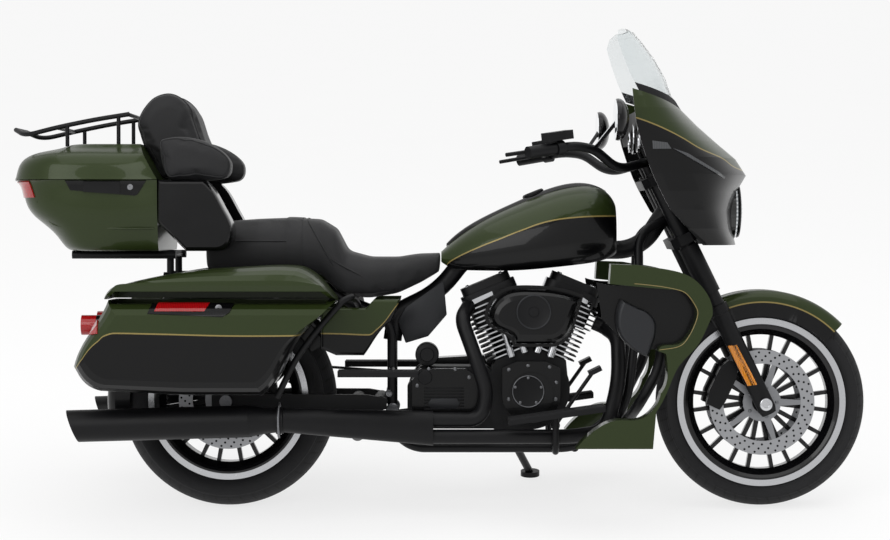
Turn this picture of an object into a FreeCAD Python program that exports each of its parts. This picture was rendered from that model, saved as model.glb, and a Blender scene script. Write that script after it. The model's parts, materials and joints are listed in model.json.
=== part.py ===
import FreeCAD, Part
import math
import os
import re
import Sketcher
from types import SimpleNamespace

# A touring cruiser motorcycle, parked on its side stand.
# It is modelled upright: x forward from the rear axle, y to its left, z up from the road.
# At the end every sub-part leans with the machine, and the origin moves to the bottom centre of its box.

doc = FreeCAD.newDocument("TouringCruiser")
sheet = doc.addObject("Spreadsheet::Sheet", "Sizes")

# Driving dimensions in millimetres and degrees, piece by piece
SIZES = {
    # Whole machine
    "wheelbase": 1625,
    "lean_angle": 10,
    "rake_angle": 26,
    "seat_gap": 0.3,
    "part_gap": 3,
    "overrun": 20,
    "running_gap": 0.05,
    # Tyres
    "front_tyre_radius": 319,
    "front_tyre_half": 65,
    "front_crown_radius": 66,
    "rear_tyre_radius": 327.6,
    "rear_tyre_half": 90,
    "rear_crown_radius": 92,
    # Wheels
    "front_seat_radius": 241.3,
    "rear_seat_radius": 228.6,
    "flange_height": 15.5,
    "flange_thickness": 5,
    "front_rim_half": 50,
    "rear_rim_half": 70,
    "rim_wall": 9,
    "rim_drop": 27,
    "spoke_count": 10,
    "spoke_spread": 15.5,
    "spoke_width": 15,
    "spoke_thickness": 22,
    "front_hub_radius": 40,
    "rear_hub_radius": 52,
    "front_hub_half": 58,
    "rear_hub_half": 68,
    "axle_radius": 12.5,
    "axle_nut_radius": 19,
    "axle_nut_length": 12,
    "front_axle_half": 150,
    "rear_axle_half": 150,
    "pulley_radius": 106,
    "belt_width": 24,
    "belt_thickness": 7,
    "belt_gap": 6,
    # Brake discs
    "front_disc_radius": 160,
    "rear_disc_radius": 150,
    "disc_band": 42,
    "disc_thickness": 5,
    "disc_arm_count": 5,
    "disc_arm_width": 22,
    "disc_hub_margin": 18,
    # Fork
    "fork_half_width": 118,
    "steering_offset": 12,
    "slider_radius": 28,
    "slider_length": 330,
    "slider_foot_drop": 34,
    "tube_radius": 24.5,
    "tube_top": 775,
    "cover_radius": 31,
    "cover_start": 372,
    "cover_end": 530,
    "lower_yoke": 538,
    "upper_yoke": 738,
    "yoke_thickness": 30,
    "yoke_depth": 84,
    "stay_forward": 13,
    "stay_out": 135,
    "stay_radius": 7,
    "stem_radius": 14,
    "neck_radius": 36,
    # Front fender
    "front_fender_radius": 341,
    "front_fender_half": 82,
    "fender_wall": 3,
    "front_fender_skirt": 78,
    "front_fender_start": 58,
    "front_fender_end": 172,
    "boss_drop": 56,
    "boss_radius": 12,
    # Rear fender
    "rear_fender_radius": 365,
    "rear_fender_half": 106,
    "rear_fender_skirt": 70,
    "rear_fender_start": -12,
    "rear_fender_end": 150,
    "fender_rod_radius": 9,
    # Front calipers
    "caliper_inner": 48,
    "caliper_length": 150,
    "caliper_width": 58,
    "front_caliper_angle": 25,
    "rear_caliper_angle": 172,
    # Engine
    "crank_forward": 920,
    "crank_height": 350,
    "cylinder_angle": 22.5,
    "deck_height": 132,
    "barrel_height": 104,
    "barrel_radius": 54,
    "fin_pitch": 15,
    "fin_thickness": 4,
    "fin_half_length": 88,
    "fin_half_width": 80,
    "fin_corner": 34,
    "head_height": 78,
    "head_half_length": 98,
    "rocker_height": 56,
    "rocker_half_length": 78,
    "rocker_half_width": 62,
    "case_half": 72,
    "crankcase_radius": 112,
    "gearbox_half": 66,
    "cam_cover_depth": 62,
    "primary_inner": 126,
    "timer_radius": 65,
    "primary_depth": 95,
    "primary_front_radius": 112,
    "primary_rear_radius": 96,
    "gearbox_rear": 545,
    "gearbox_bottom": 240,
    "gearbox_top": 430,
    "foot_out": 40,
    "foot_radius": 12,
    "gearbox_cover_rear": 560,
    "gearbox_cover_length": 200,
    "gearbox_cover_bottom": 250,
    "gearbox_cover_height": 176,
    "gearbox_cover_depth": 58,
    "sprocket_forward": 600,
    "sprocket_height": 345,
    "sprocket_radius": 48,
    "pushrod_radius": 9,
    "pushrod_out": 93,
    "air_plate_out": 106,
    "air_plate_thickness": 10,
    "air_cover_depth": 88,
    "air_length": 300,
    "air_height": 186,
    "air_bottom": 492,
    "air_cap_radius": 50,
    # Exhaust
    "header_radius": 22,
    "rear_header_rear": -296,
    "rear_header_length": 162,
    "rear_header_inner": 84,
    "rear_header_spread": 116,
    "rear_header_low": -72,
    "rear_header_rise": 334,
    "front_header_reach": 68.2,
    "port_drop": 4.8,
    "front_header_inner": 24,
    "front_header_spread": 176,
    "front_header_low": -123,
    "crossover_length": 217.7,
    "crossover_spread": 546,
    "crossover_low": 228,
    "crossover_rise": 56,
    "muffler_radius": 47.5,
    "muffler_out": 300,
    "muffler_length": 640,
    "muffler_wall": 4,
    "muffler_front": 182,
    "muffler_height": 284,
    "muffler_rise": 1.6,
    "collector_half": 52,
    "collector_end_radius": 36,
    # Frame
    "backbone_radius": 28,
    "rail_radius": 14,
    "rail_rear": -190,
    "rail_length": 1525,
    "rail_inner": 18,
    "rail_spread": 98,
    "rail_bottom": 186,
    "rail_height": 694,
    "backbone_length": 842,
    "backbone_low": 508,
    "backbone_rise": 404,
    # Swingarm and shocks
    "pivot_forward": 462,
    "pivot_height": 322,
    "pivot_radius": 22,
    "arm_inner": 128,
    "arm_thickness": 22,
    "arm_height": 54,
    "shock_out": 150,
    "shock_radius": 23,
    "shock_low_forward": 60,
    "shock_high_forward": 130,
    "shock_body": 170,
    "cross_tube_forward": 392,
    # Tank
    "tank_front": 1178,
    "tank_rear": 648,
    "tank_half": 165,
    "tank_height": 263,
    "tunnel_half": 34,
    "tunnel_depth": 90,
    "console_half": 42,
    "console_height": 9,
    # Seat
    "seat_rear": -61,
    "seat_front": 645,
    "seat_half": 180,
    "seat_drop": 76,
    "seat_height": 238,
    # Saddlebags and their lids
    "bag_rear": -424,
    "bag_length": 766,
    "bag_bottom": 363,
    "bag_height": 278,
    "bag_inner": 205,
    "bag_outer": 445,
    "bag_dome": 42,
    "bag_wall": 5,
    "lid_gap": 2,
    "bag_lid_height": 98,
    # Touring case and its lid
    "case_front": -190,
    "case_length": 452,
    "case_bottom": 783,
    "case_height": 210,
    "case_half_width": 300,
    "case_wall": 5,
    "tour_lid_height": 102,
    "lid_slope": 59,
    # Fairing, windshield, dash and lamps
    "fairing_wall": 5,
    "fairing_half": 386,
    "fairing_bottom": 800,
    "fairing_height": 466,
    "fairing_rear": 1206,
    "fairing_length": 374,
    "windshield_wall": 4,
    "windshield_bottom": 1188,
    "windshield_height": 264,
    "windshield_rear": 1170,
    "windshield_length": 224,
    "windshield_half": 300,
    "dash_depth": 22,
    "lamp_forward": 1478,
    "lamp_height": 905,
    "lamp_radius": 88,
    # Handlebar and controls
    "bar_radius": 14,
    "riser_length": 44,
    "bar_rear": 904,
    "bar_reach": 364.9,
    "bar_inner": 104,
    "bar_spread": 324,
    "bar_low": 1024,
    "bar_rise": 68,
    "riser_out": 62,
    "grip_radius": 18,
    "grip_length": 90,
    "house_length": 26,
    "lever_reach": 52,
    "lever_length": 150,
    "lever_radius": 6,
    "reservoir_length": 84,
    "reservoir_width": 44,
    "reservoir_height": 26,
    "mirror_forward": 1160,
    "mirror_out": 430,
    "mirror_height": 1165,
    "mirror_depth": 64,
    "mirror_width": 190,
    "mirror_tall": 122,
    # Guards, lower fairings and side covers
    "guard_radius": 16,
    "guard_rear": 1206,
    "guard_length": 96,
    "guard_inner": 90,
    "guard_low": 262,
    "guard_rise": 350,
    "bag_guard_radius": 9.5,
    "bag_guard_rear": 165,
    "bag_guard_length": 235,
    "bag_guard_inner": 112,
    "bag_guard_spread": 228,
    "bag_guard_low": 352,
    "bag_guard_rise": 296,
    "lower_rear": 1042,
    "lower_bottom": 206,
    "lower_length": 398,
    "lower_height": 540,
    "lower_inner": 302,
    "lower_outer": 380,
    "panel_wall": 4,
    "pod_depth": 58,
    "cover_rear": 287,
    "cover_bottom": 470,
    "cover_length": 236,
    "cover_height": 168,
    "cover_inner": 176,
    # Footboards
    "board_rear": 846,
    "board_front": 1130,
    "board_low": 286,
    "board_high": 326,
    "board_inner": 236,
    "board_outer": 352,
    "board_thickness": 14,
    "pillion_rear": 343,
    "pillion_front": 580,
    "pillion_height": 426,
    "pillion_inner": 222,
    "pillion_outer": 322,
    "pedal_out": 229,
    "pedal_length": 116,
    "pedal_rise": 232,
    "pedal_width": 40,
    "pedal_reach": 60,
    # Backrest, speakers, rack and rear lamps
    "pad_rear": -272,
    "pad_length": 212,
    "pad_height": 267,
    "pad_edge": 26,
    "pad_half": 140,
    "arm_in": 205,
    "arm_width": 90,
    "arm_rear": -186,
    "arm_bottom": 994,
    "arm_length": 221,
    "arm_tall": 120,
    "speaker_in": 190,
    "speaker_width": 118,
    "speaker_length": 222,
    "rack_radius": 7,
    "rack_rear": -640,
    "rack_length": 355,
    "rack_inner": 90,
    "rack_spread": 88,
    "rack_low": 1128,
    "rack_rise": 64,
    "turn_lamp_radius": 30,
    "turn_lamp_out": 170,
    "turn_lamp_forward": -400,
    "turn_lamp_height": 560,
    "mount_radius": 12,
    "mount_out": 150,
    "bag_stay_rear": -100,
    "bag_stay_front": 236,
    # Side stand
    "stand_forward": 870,
    "stand_out": 168,
    "stand_height": 190,
    "stand_reach_forward": 62,
    "stand_reach_out": 160,
    "stand_fold_out": 0.12,
    "stand_fold_up": 0.04,
    "stand_lug_radius": 20,
    "stand_lug_half": 9,
    "stand_cheek": 6,
    "stand_pin_radius": 7,
    "stand_leg_radius": 12,
    "stand_foot_radius": 30,
    "stand_foot_thickness": 10,
}

for row, (alias, value) in enumerate(SIZES.items(), start=1):
    sheet.set(f"A{row}", alias)
    sheet.set(f"B{row}", str(value))
    sheet.setAlias(f"B{row}", alias)
doc.recompute()

D = SimpleNamespace(**{alias: float(sheet.get(alias)) for alias in SIZES})
SUBPARTS = []
ROUNDING_TURNS = (0, 24, 46, 66, 90)


# Small tools for points, outlines and sketches

def vec(x, y, z=0.0):
    return FreeCAD.Vector(x, y, z)


def turned(axis, angle):
    """Rotation by an angle in degrees about one of the letters x, y and z."""
    axes = {"x": vec(1, 0, 0), "y": vec(0, 1, 0), "z": vec(0, 0, 1)}
    return FreeCAD.Rotation(axes[axis], angle)


def bind(item, prop, formula):
    """Bind a property to a formula of sheet aliases."""
    item.setExpression(prop, re.sub(r"[a-z]\w+", r"Sizes.\g<0>", formula))


def runs_to_edges(runs):
    """Closed outline from runs of points: one point ends a straight side, more a curve, a tuple an arc."""
    start = runs[0][0]
    last = start
    edges = []
    for number, run in enumerate(runs):
        points = list(run) if number == 0 else [last] + list(run)
        if isinstance(run, tuple):
            edges.append(Part.Arc(*points))
        elif len(points) == 2:
            edges.append(Part.LineSegment(points[0], points[1]))
        elif len(points) > 2:
            curve = Part.BSplineCurve()
            curve.interpolate(points)
            edges.append(curve)
        last = points[-1]
    if last.distanceToPoint(start) > D.seat_gap:
        edges.append(Part.LineSegment(last, start))
    return edges


def placed(shares, corner, span):
    """Runs of points from shares of a span (along, up), measured from a corner (along, up)."""
    return [
        [vec(corner[0] + span[0] * u, corner[1] + span[1] * w) for u, w in run]
        for run in shares
    ]


def spread(shares, corner, span):
    """Points from shares of a box (forward, out, up), measured from its corner."""
    return [
        vec(*(start + size * share for start, size, share in zip(corner, span, place)))
        for place in shares
    ]


def other_side(point):
    return vec(point.x, -point.y, point.z)


def new_body(label, place=None):
    body = doc.addObject("PartDesign::Body", label)
    body.Label = label
    body.AllowCompound = True
    SUBPARTS.append((body, place or FreeCAD.Placement()))
    return body


def origin_feature(body, role):
    return next(item for item in body.Origin.OriginFeatures if item.Role == role)


def new_sketch(body, role, edges, offset="0"):
    """Sketch on an origin plane, moved along the plane's normal by a formula of sheet aliases."""
    sketch = body.newObject("Sketcher::SketchObject", f"{body.Label}_sketch")
    sketch.AttachmentSupport = [(origin_feature(body, role), "")]
    sketch.MapMode = "FlatFace"
    if isinstance(offset, str):
        bind(sketch, "AttachmentOffset.Base.z", offset)
    else:
        sketch.AttachmentOffset = FreeCAD.Placement(vec(0, 0, offset), FreeCAD.Rotation())
    for edge in edges:
        sketch.addGeometry(edge)
    join_ends(sketch, edges)
    return sketch


def join_ends(sketch, edges):
    """Tie each edge of an outline to the next one where their ends meet."""
    open_edges = [number for number, edge in enumerate(edges) if not isinstance(edge, Part.Circle)]
    for here, following in zip(open_edges, open_edges[1:] + open_edges[:1]):
        for end, start in ((2, 1), (1, 1), (2, 2), (1, 2)):
            gap = sketch.getPoint(here, end).distanceToPoint(sketch.getPoint(following, start))
            if here != following and gap < D.running_gap:
                sketch.addConstraint(Sketcher.Constraint("Coincident", here, end, following, start))
                break


def circle(x, y, radius):
    return Part.Circle(vec(x, y), vec(0, 0, 1), radius)


def pad(body, sketch, length, symmetric=False, inward=False):
    feature = body.newObject("PartDesign::Pad", f"{body.Label}_pad")
    feature.Profile = sketch
    bind(feature, "Length", length)
    feature.SideType = "Symmetric" if symmetric else "One side"
    feature.Reversed = inward
    return feature


def pocket(body, sketch, length, symmetric=False, inward=False):
    feature = body.newObject("PartDesign::Pocket", f"{body.Label}_pocket")
    feature.Profile = sketch
    bind(feature, "Length", length)
    feature.SideType = "Symmetric" if symmetric else "One side"
    feature.Reversed = inward
    return feature


def revolve(body, sketch, axis="Y_Axis", angle="360", kind="Revolution", symmetric=False):
    feature = body.newObject(f"PartDesign::{kind}", f"{body.Label}_{kind.lower()}")
    feature.Profile = sketch
    feature.ReferenceAxis = (origin_feature(body, axis), [""])
    bind(feature, "Angle", angle)
    feature.Midplane = symmetric
    return feature


def loft(body, sketches, kind="Additive", ruled=False):
    feature = body.newObject(f"PartDesign::{kind}Loft", f"{body.Label}_loft")
    feature.Ruled = ruled
    feature.Profile = sketches[0]
    feature.Sections = [(sketch, [""]) for sketch in sketches[1:]]
    return feature


def rounded_steps(near, far, depth, inset):
    """Steps of a straight wall that rounds over into an outer face drawn in by an inset."""
    turns = [math.radians(turn) for turn in ROUNDING_TURNS]
    return [(near, 0)] + [
        (far - depth * (1 - math.sin(turn)), inset * (1 - math.cos(turn))) for turn in turns
    ]


def domed(body, role, shares, corner, span, steps, kind="Additive"):
    """Loft of one outline that is drawn in by an inset at each step away from the plane."""
    sketches = []
    for offset, inset in steps:
        inner = (corner[0] + inset, corner[1] + inset)
        small = (span[0] - 2 * inset, span[1] - 2 * inset)
        sketches.append(new_sketch(body, role, runs_to_edges(placed(shares, inner, small)), offset))
    return loft(body, sketches, kind, ruled=True)


def mirror(body, features):
    """Copy features to the other side of the mid plane."""
    feature = body.newObject("PartDesign::Mirrored", f"{body.Label}_mirrored")
    feature.Originals = features
    feature.MirrorPlane = (origin_feature(body, "XZ_Plane"), [""])
    body.Tip = feature
    return feature


def polar(body, features, count):
    """Repeat features about the body's y axis."""
    feature = body.newObject("PartDesign::PolarPattern", f"{body.Label}_ring")
    feature.Originals = features
    feature.Axis = (origin_feature(body, "Y_Axis"), [""])
    bind(feature, "Occurrences", count)
    body.Tip = feature
    return feature


def solid_part(label, shape, place=None):
    """Sub-part whose free form is set directly, where no sketch feature fits it."""
    item = doc.addObject("Part::Feature", label)
    item.Label = label
    item.Shape = shape
    SUBPARTS.append((item, place or FreeCAD.Placement()))
    return item


def tube_path(points, radius_share=0.45):
    """Wire of straight runs joined by tangent arcs as large as the runs allow."""
    edges = []
    last = points[0]
    for before, here, after in zip(points, points[1:], points[2:]):
        back = (before - here).normalize()
        ahead = (after - here).normalize()
        half_turn = (math.pi - back.getAngle(ahead)) / 2
        shorter = min(before.distanceToPoint(here), after.distanceToPoint(here))
        reach = shorter * radius_share
        radius = reach / math.tan(half_turn)
        middle = (back + ahead).normalize()
        start = here + back * reach
        end = here + ahead * reach
        centre = here + middle * (radius / math.cos(half_turn))
        top = centre - middle * radius
        edges.append(Part.LineSegment(last, start).toShape())
        edges.append(Part.Arc(start, top, end).toShape())
        last = end
    edges.append(Part.LineSegment(last, points[-1]).toShape())
    return Part.Wire(edges)


def tube(points, radius, radius_share=0.45):
    """Round bar along a route of points."""
    path = tube_path(points, radius_share)
    start = points[0]
    ring = Part.Wire(Part.Circle(start, (points[1] - start).normalize(), radius).toShape())
    return path.makePipeShell([ring], True, False)


def merged(shapes):
    """One shape from pieces that touch or cross, or that stand apart."""
    result = shapes[0]
    if len(shapes) > 1:
        result = result.multiFuse(shapes[1:])
    return result.removeSplitter()


def rod(start, end, radius):
    """Straight round bar between two points."""
    along = end - start
    return Part.makeCylinder(radius, along.Length, start, along)


def block(x, y, z):
    """Box between pairs of limits along each axis."""
    return Part.makeBox(x[1] - x[0], y[1] - y[0], z[1] - z[0], vec(x[0], y[0], z[0]))


def plate(runs, out, thickness):
    """Flat plate with an outline in side view, from a distance right of the mid plane outward."""
    edges = [edge.toShape() for edge in runs_to_edges(runs)]
    lifted = Part.Wire(edges)
    lifted.transformShape(FreeCAD.Placement(vec(0, -out, 0), turned("x", 90)).toMatrix())
    return Part.Face(lifted).extrude(vec(0, -thickness, 0))


# Places that many pieces share

LEAN_COS = math.cos(math.radians(D.lean_angle))
CROWN_LIFT = (1 - LEAN_COS) / LEAN_COS
FRONT_AXLE = vec(D.wheelbase, 0, D.front_tyre_radius + D.front_crown_radius * CROWN_LIFT)
REAR_AXLE = vec(0, 0, D.rear_tyre_radius + D.rear_crown_radius * CROWN_LIFT)
CRANK = vec(D.crank_forward, 0, D.crank_height)
RAKE = turned("y", -D.rake_angle)

FRONT_WHEEL_PLACE = FreeCAD.Placement(FRONT_AXLE, FreeCAD.Rotation())
REAR_WHEEL_PLACE = FreeCAD.Placement(REAR_AXLE, FreeCAD.Rotation())
FORK_PLACE = FreeCAD.Placement(FRONT_AXLE, RAKE)
STEERING_AXIS = RAKE.multVec(vec(0, 0, 1))
BELT_INNER = D.rear_tyre_half + D.belt_gap


def cylinder_place(side):
    """Place of a cylinder: its z axis runs up the bore from the crank, side 1 leans forward."""
    return FreeCAD.Placement(CRANK, turned("y", side * D.cylinder_angle))


# Share of the way from the gearbox's rear to the crank
ENGINE_FOOT_SHARES = (0.13, 0.88)


def engine_feet():
    """Places along the machine where the engine stands on the frame's cross rods."""
    length = D.crank_forward - D.gearbox_rear
    return [D.gearbox_rear + length * share for share in ENGINE_FOOT_SHARES]


# Wheels, about their own axles

TYRE_SIDE_SHARES = [(0.12, 0.86), (0.34, 0.98), (0.55, 1.0)]
CROWN_HALF_ANGLE = 55


def make_tyre(label, place, outer, half, crown, seat, rim_half):
    """Tyre: beads between the rim's flanges, bulging sides and a round crown."""
    bead = seat + D.seat_gap
    inside = rim_half - D.flange_thickness - D.seat_gap
    edge = seat + D.flange_height + D.seat_gap
    turn = math.radians(CROWN_HALF_ANGLE)
    shoulder = vec(outer - crown * (1 - math.cos(turn)), crown * math.sin(turn))
    side = [vec(edge, inside)]
    side += [vec(edge + (outer - edge) * rise, half * width) for rise, width in TYRE_SIDE_SHARES]
    side.append(shoulder)
    other = [vec(point.x, -point.y) for point in reversed(side)]
    runs = [[vec(bead, inside), side[0]], side[1:], (vec(outer, 0), other[0]), other[1:],
        [vec(bead, -inside)]]
    body = new_body(label, place)
    revolve(body, new_sketch(body, "XY_Plane", runs_to_edges(runs)))


def make_wheel(label, place, seat, rim_half, hub_radius, hub_half):
    body = new_body(label, place)
    flange = seat + D.flange_height
    inner = seat - D.rim_wall
    well = seat - D.rim_drop
    lip = rim_half - D.flange_thickness
    rim = [
        (flange, rim_half), (flange, lip), (seat, lip), (seat, lip * 0.7), (well, lip * 0.4),
        (well, -lip * 0.4), (seat, -lip * 0.7), (seat, -lip), (flange, -lip), (flange, -rim_half),
        (inner, -rim_half), (inner - D.rim_wall, -lip), (well - D.rim_wall, -lip * 0.5),
        (well - D.rim_wall, lip * 0.5), (inner - D.rim_wall, lip), (inner, rim_half),
    ]
    revolve(body, new_sketch(body, "XY_Plane", runs_to_edges([[vec(*p)] for p in rim])))
    bore = D.axle_radius + D.running_gap
    hub = [(bore, hub_half), (hub_radius, hub_half), (hub_radius, -hub_half), (bore, -hub_half)]
    revolve(body, new_sketch(body, "XY_Plane", runs_to_edges([[vec(*p)] for p in hub])))
    spokes = []
    for side in (-1, 1):
        angle = math.radians(side * D.spoke_spread / 2)
        along = vec(math.cos(angle), math.sin(angle))
        across = vec(-along.y, along.x) * (D.spoke_width / 2)
        foot = along * (hub_radius - D.rim_wall / 2)
        tip = along * (well - D.rim_wall / 2)
        corners = [foot - across, tip - across * 0.8, tip + across * 0.8, foot + across]
        sketch = new_sketch(body, "XZ_Plane", runs_to_edges([[corner] for corner in corners]))
        spokes.append(pad(body, sketch, "spoke_thickness", symmetric=True))
    polar(body, spokes, "spoke_count")


def make_disc(label, place, radius, seat_radius, seat, sides):
    """Brake disc on each side asked for: a swept band, a carrier ring and the arms between them."""
    body = new_body(label, place)
    ring = radius - D.disc_band
    carrier = seat_radius + D.disc_hub_margin
    bore = D.axle_radius + D.disc_hub_margin
    half = D.disc_arm_width / 2
    arm = [
        vec(carrier - D.fender_wall, -half), vec(ring + D.fender_wall, -half * 0.6),
        vec(ring + D.fender_wall, half * 0.6), vec(carrier - D.fender_wall, half),
    ]
    arms = []
    for side in sides:
        inner = side * seat
        outer = side * (seat + D.disc_thickness)
        for small, large in ((ring, radius), (bore, carrier)):
            corners = [vec(small, inner), vec(large, inner), vec(large, outer), vec(small, outer)]
            revolve(body, new_sketch(body, "XY_Plane", runs_to_edges([[corner] for corner in corners])))
        sketch = new_sketch(body, "XZ_Plane", runs_to_edges([[corner] for corner in arm]), -inner)
        arms.append(pad(body, sketch, "disc_thickness", inward=side > 0))
    polar(body, arms, "disc_arm_count")


make_tyre(
    "front_tyre", FRONT_WHEEL_PLACE, D.front_tyre_radius, D.front_tyre_half,
    D.front_crown_radius, D.front_seat_radius, D.front_rim_half,
)
make_tyre(
    "rear_tyre", REAR_WHEEL_PLACE, D.rear_tyre_radius, D.rear_tyre_half,
    D.rear_crown_radius, D.rear_seat_radius, D.rear_rim_half,
)
make_wheel(
    "front_wheel", FRONT_WHEEL_PLACE, D.front_seat_radius, D.front_rim_half,
    D.front_hub_radius, D.front_hub_half,
)
make_wheel(
    "rear_wheel", REAR_WHEEL_PLACE, D.rear_seat_radius, D.rear_rim_half,
    D.rear_hub_radius, D.rear_hub_half,
)
make_disc("front_discs", FRONT_WHEEL_PLACE, D.front_disc_radius, D.front_hub_radius, D.front_hub_half,
    (-1, 1))
make_disc("rear_disc", REAR_WHEEL_PLACE, D.rear_disc_radius, D.rear_hub_radius, D.rear_hub_half, (-1,))


def make_pulley():
    """Belt pulley bolted to the left of the rear hub: a web and a wide toothed ring beside the tyre."""
    body = new_body("rear_pulley", REAR_WHEEL_PLACE)
    bore = D.axle_radius + D.disc_hub_margin
    near = D.rear_hub_half + D.seat_gap
    far = BELT_INNER + D.belt_width + D.part_gap
    web = near + D.disc_thickness * 2
    rim = D.pulley_radius - D.rim_wall
    profile = [(bore, near), (D.pulley_radius, near), (D.pulley_radius, far), (rim, far), (rim, web),
        (bore, web)]
    revolve(body, new_sketch(body, "XY_Plane", runs_to_edges([[vec(*p)] for p in profile])))


make_pulley()


def make_axle(label, place, half):
    """Wheel spindle with a nut at each end."""
    body = new_body(label, place)
    spindle = new_sketch(body, "XZ_Plane", [circle(0, 0, D.axle_radius)])
    pad(body, spindle, f"{half} * 2", symmetric=True)
    nuts = new_sketch(body, "XZ_Plane", [circle(0, 0, D.axle_nut_radius)], half)
    nut = pad(body, nuts, "axle_nut_length")
    mirror(body, [nut])


make_axle("front_axle", FRONT_WHEEL_PLACE, "front_axle_half")
make_axle("rear_axle", REAR_WHEEL_PLACE, "rear_axle_half")


# Levels of the fairing, dash and windshield, which turn with the fork

FAIRING_PLAN_SHARES = [(0.0, 1.0), (0.28, 0.985), (0.52, 0.9), (0.74, 0.7), (0.9, 0.4)]
# Each level: height, front end, rear end and half width
FAIRING_LEVEL_SHARES = [
    (0.0, 0.914, 0.583, 0.679), (0.107, 0.882, 0.444, 0.85), (0.225, 0.882, 0.299, 0.938),
    (0.343, 0.92, 0.219, 0.969),
    (0.451, 1.0, 0.155, 0.984), (0.558, 0.914, 0.104, 0.995), (0.665, 0.754, 0.061, 1.0),
    (0.773, 0.599, 0.029, 0.995),
    (0.867, 0.479, 0.013, 0.984), (0.94, 0.385, 0.005, 0.964), (1.0, 0.31, 0.0, 0.943),
]
WINDSHIELD_LEVEL_SHARES = [
    (0.0, 1.0, 0.411, 1.0), (0.235, 0.8125, 0.295, 0.953), (0.443, 0.732, 0.169, 0.9),
    (0.67, 0.58, 0.071, 0.86),
    (0.86, 0.411, 0.0, 0.793), (0.955, 0.313, 0.027, 0.653), (1.0, 0.233, 0.089, 0.4),
]


def sheet_levels(shares, bottom, height, rear, length, half):
    """Height, front, rear and half width of a curved sheet at each level."""
    return [
        (bottom + height * up, rear + length * front, rear + length * back, half * wide)
        for up, front, back, wide in shares
    ]


FAIRING_LEVELS = sheet_levels(
    FAIRING_LEVEL_SHARES, D.fairing_bottom, D.fairing_height, D.fairing_rear, D.fairing_length,
    D.fairing_half,
)
WINDSHIELD_LEVELS = sheet_levels(
    WINDSHIELD_LEVEL_SHARES, D.windshield_bottom, D.windshield_height, D.windshield_rear, D.windshield_length,
    D.windshield_half,
)


DASH_LEVELS = FAIRING_LEVELS[-5:-2]
# Slanting line of the fairing's top edge in side view
BROW = (
    vec(FAIRING_LEVELS[-1][2] - D.overrun, FAIRING_LEVELS[-1][0]),
    vec(FAIRING_LEVELS[-3][1], FAIRING_LEVELS[-3][0]),
)


# Fork, in its own frame: z up the legs from the axle

def make_fork():
    body = new_body("fork_yokes", FORK_PLACE)
    tubes = [circle(0, side * D.fork_half_width, D.tube_radius) for side in (-1, 1)]
    start = D.slider_length + D.seat_gap
    stem = [circle(D.steering_offset, 0, D.stem_radius)]
    pad(body, new_sketch(body, "XY_Plane", tubes, start), "tube_top - slider_length - seat_gap")
    covers = [circle(0, side * D.fork_half_width, D.cover_radius) for side in (-1, 1)]
    pad(body, new_sketch(body, "XY_Plane", covers, "cover_start"), "cover_end - cover_start")
    deep = D.yoke_depth / 2
    wide = D.fork_half_width + D.tube_radius + D.yoke_thickness / 3
    shoulder = wide - D.yoke_depth / 3
    outline = [
        vec(-deep * 0.5, -wide), vec(deep * 0.5, -wide), vec(deep, -shoulder), vec(deep, shoulder),
        vec(deep * 0.5, wide), vec(-deep * 0.5, wide), vec(-deep, shoulder), vec(-deep, -shoulder),
    ]
    for level in ("lower_yoke", "upper_yoke"):
        sketch = new_sketch(body, "XY_Plane", runs_to_edges([[corner] for corner in outline]), level)
        pad(body, sketch, "yoke_thickness")
    pad(body, new_sketch(body, "XY_Plane", stem, "lower_yoke"), "upper_yoke - lower_yoke")
    rake = math.radians(D.rake_angle)
    tip = (D.stay_forward + D.stay_radius) * math.sin(rake)
    top = (DASH_LEVELS[0][0] - D.seat_gap - FRONT_AXLE.z - tip) / math.cos(rake)
    stays = [circle(D.stay_forward, side * D.stay_out, D.stay_radius) for side in (-1, 1)]
    foot = D.upper_yoke + D.yoke_thickness / 2
    stay = pad(body, new_sketch(body, "XY_Plane", stays, foot), "stay_radius")
    stay.setExpression("Length", None)
    stay.Length = top - foot


def make_sliders():
    body = new_body("fork_sliders", FORK_PLACE)
    foot = -D.slider_foot_drop
    bore = D.axle_radius + D.running_gap
    flange = D.slider_radius + D.fender_wall
    rim = D.slider_length - D.slider_radius
    profile = [
        (0, foot), (D.slider_radius * 0.8, foot), (D.slider_radius, foot * 0.5), (D.slider_radius, rim),
        (flange, rim + D.fender_wall), (flange, D.slider_length), (0, D.slider_length),
    ]
    sketch = new_sketch(
        body, "XZ_Plane", runs_to_edges([[vec(*p)] for p in profile]), "fork_half_width",
    )
    feature = body.newObject("PartDesign::Revolution", "fork_sliders_leg")
    feature.Profile = sketch
    feature.ReferenceAxis = (sketch, ["V_Axis"])
    feature.Angle = 360
    mirror(body, [feature])
    hole = new_sketch(body, "XZ_Plane", [circle(0, 0, bore)])
    pocket(body, hole, "front_axle_half * 2", symmetric=True)


make_fork()
make_sliders()


# Fenders: a U-shaped shell turned about the axle, trimmed at its ends

# Height of the fender's shoulders over its middle line, as a share of its skirt
FENDER_SWELL_SHARE = 0.033


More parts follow.
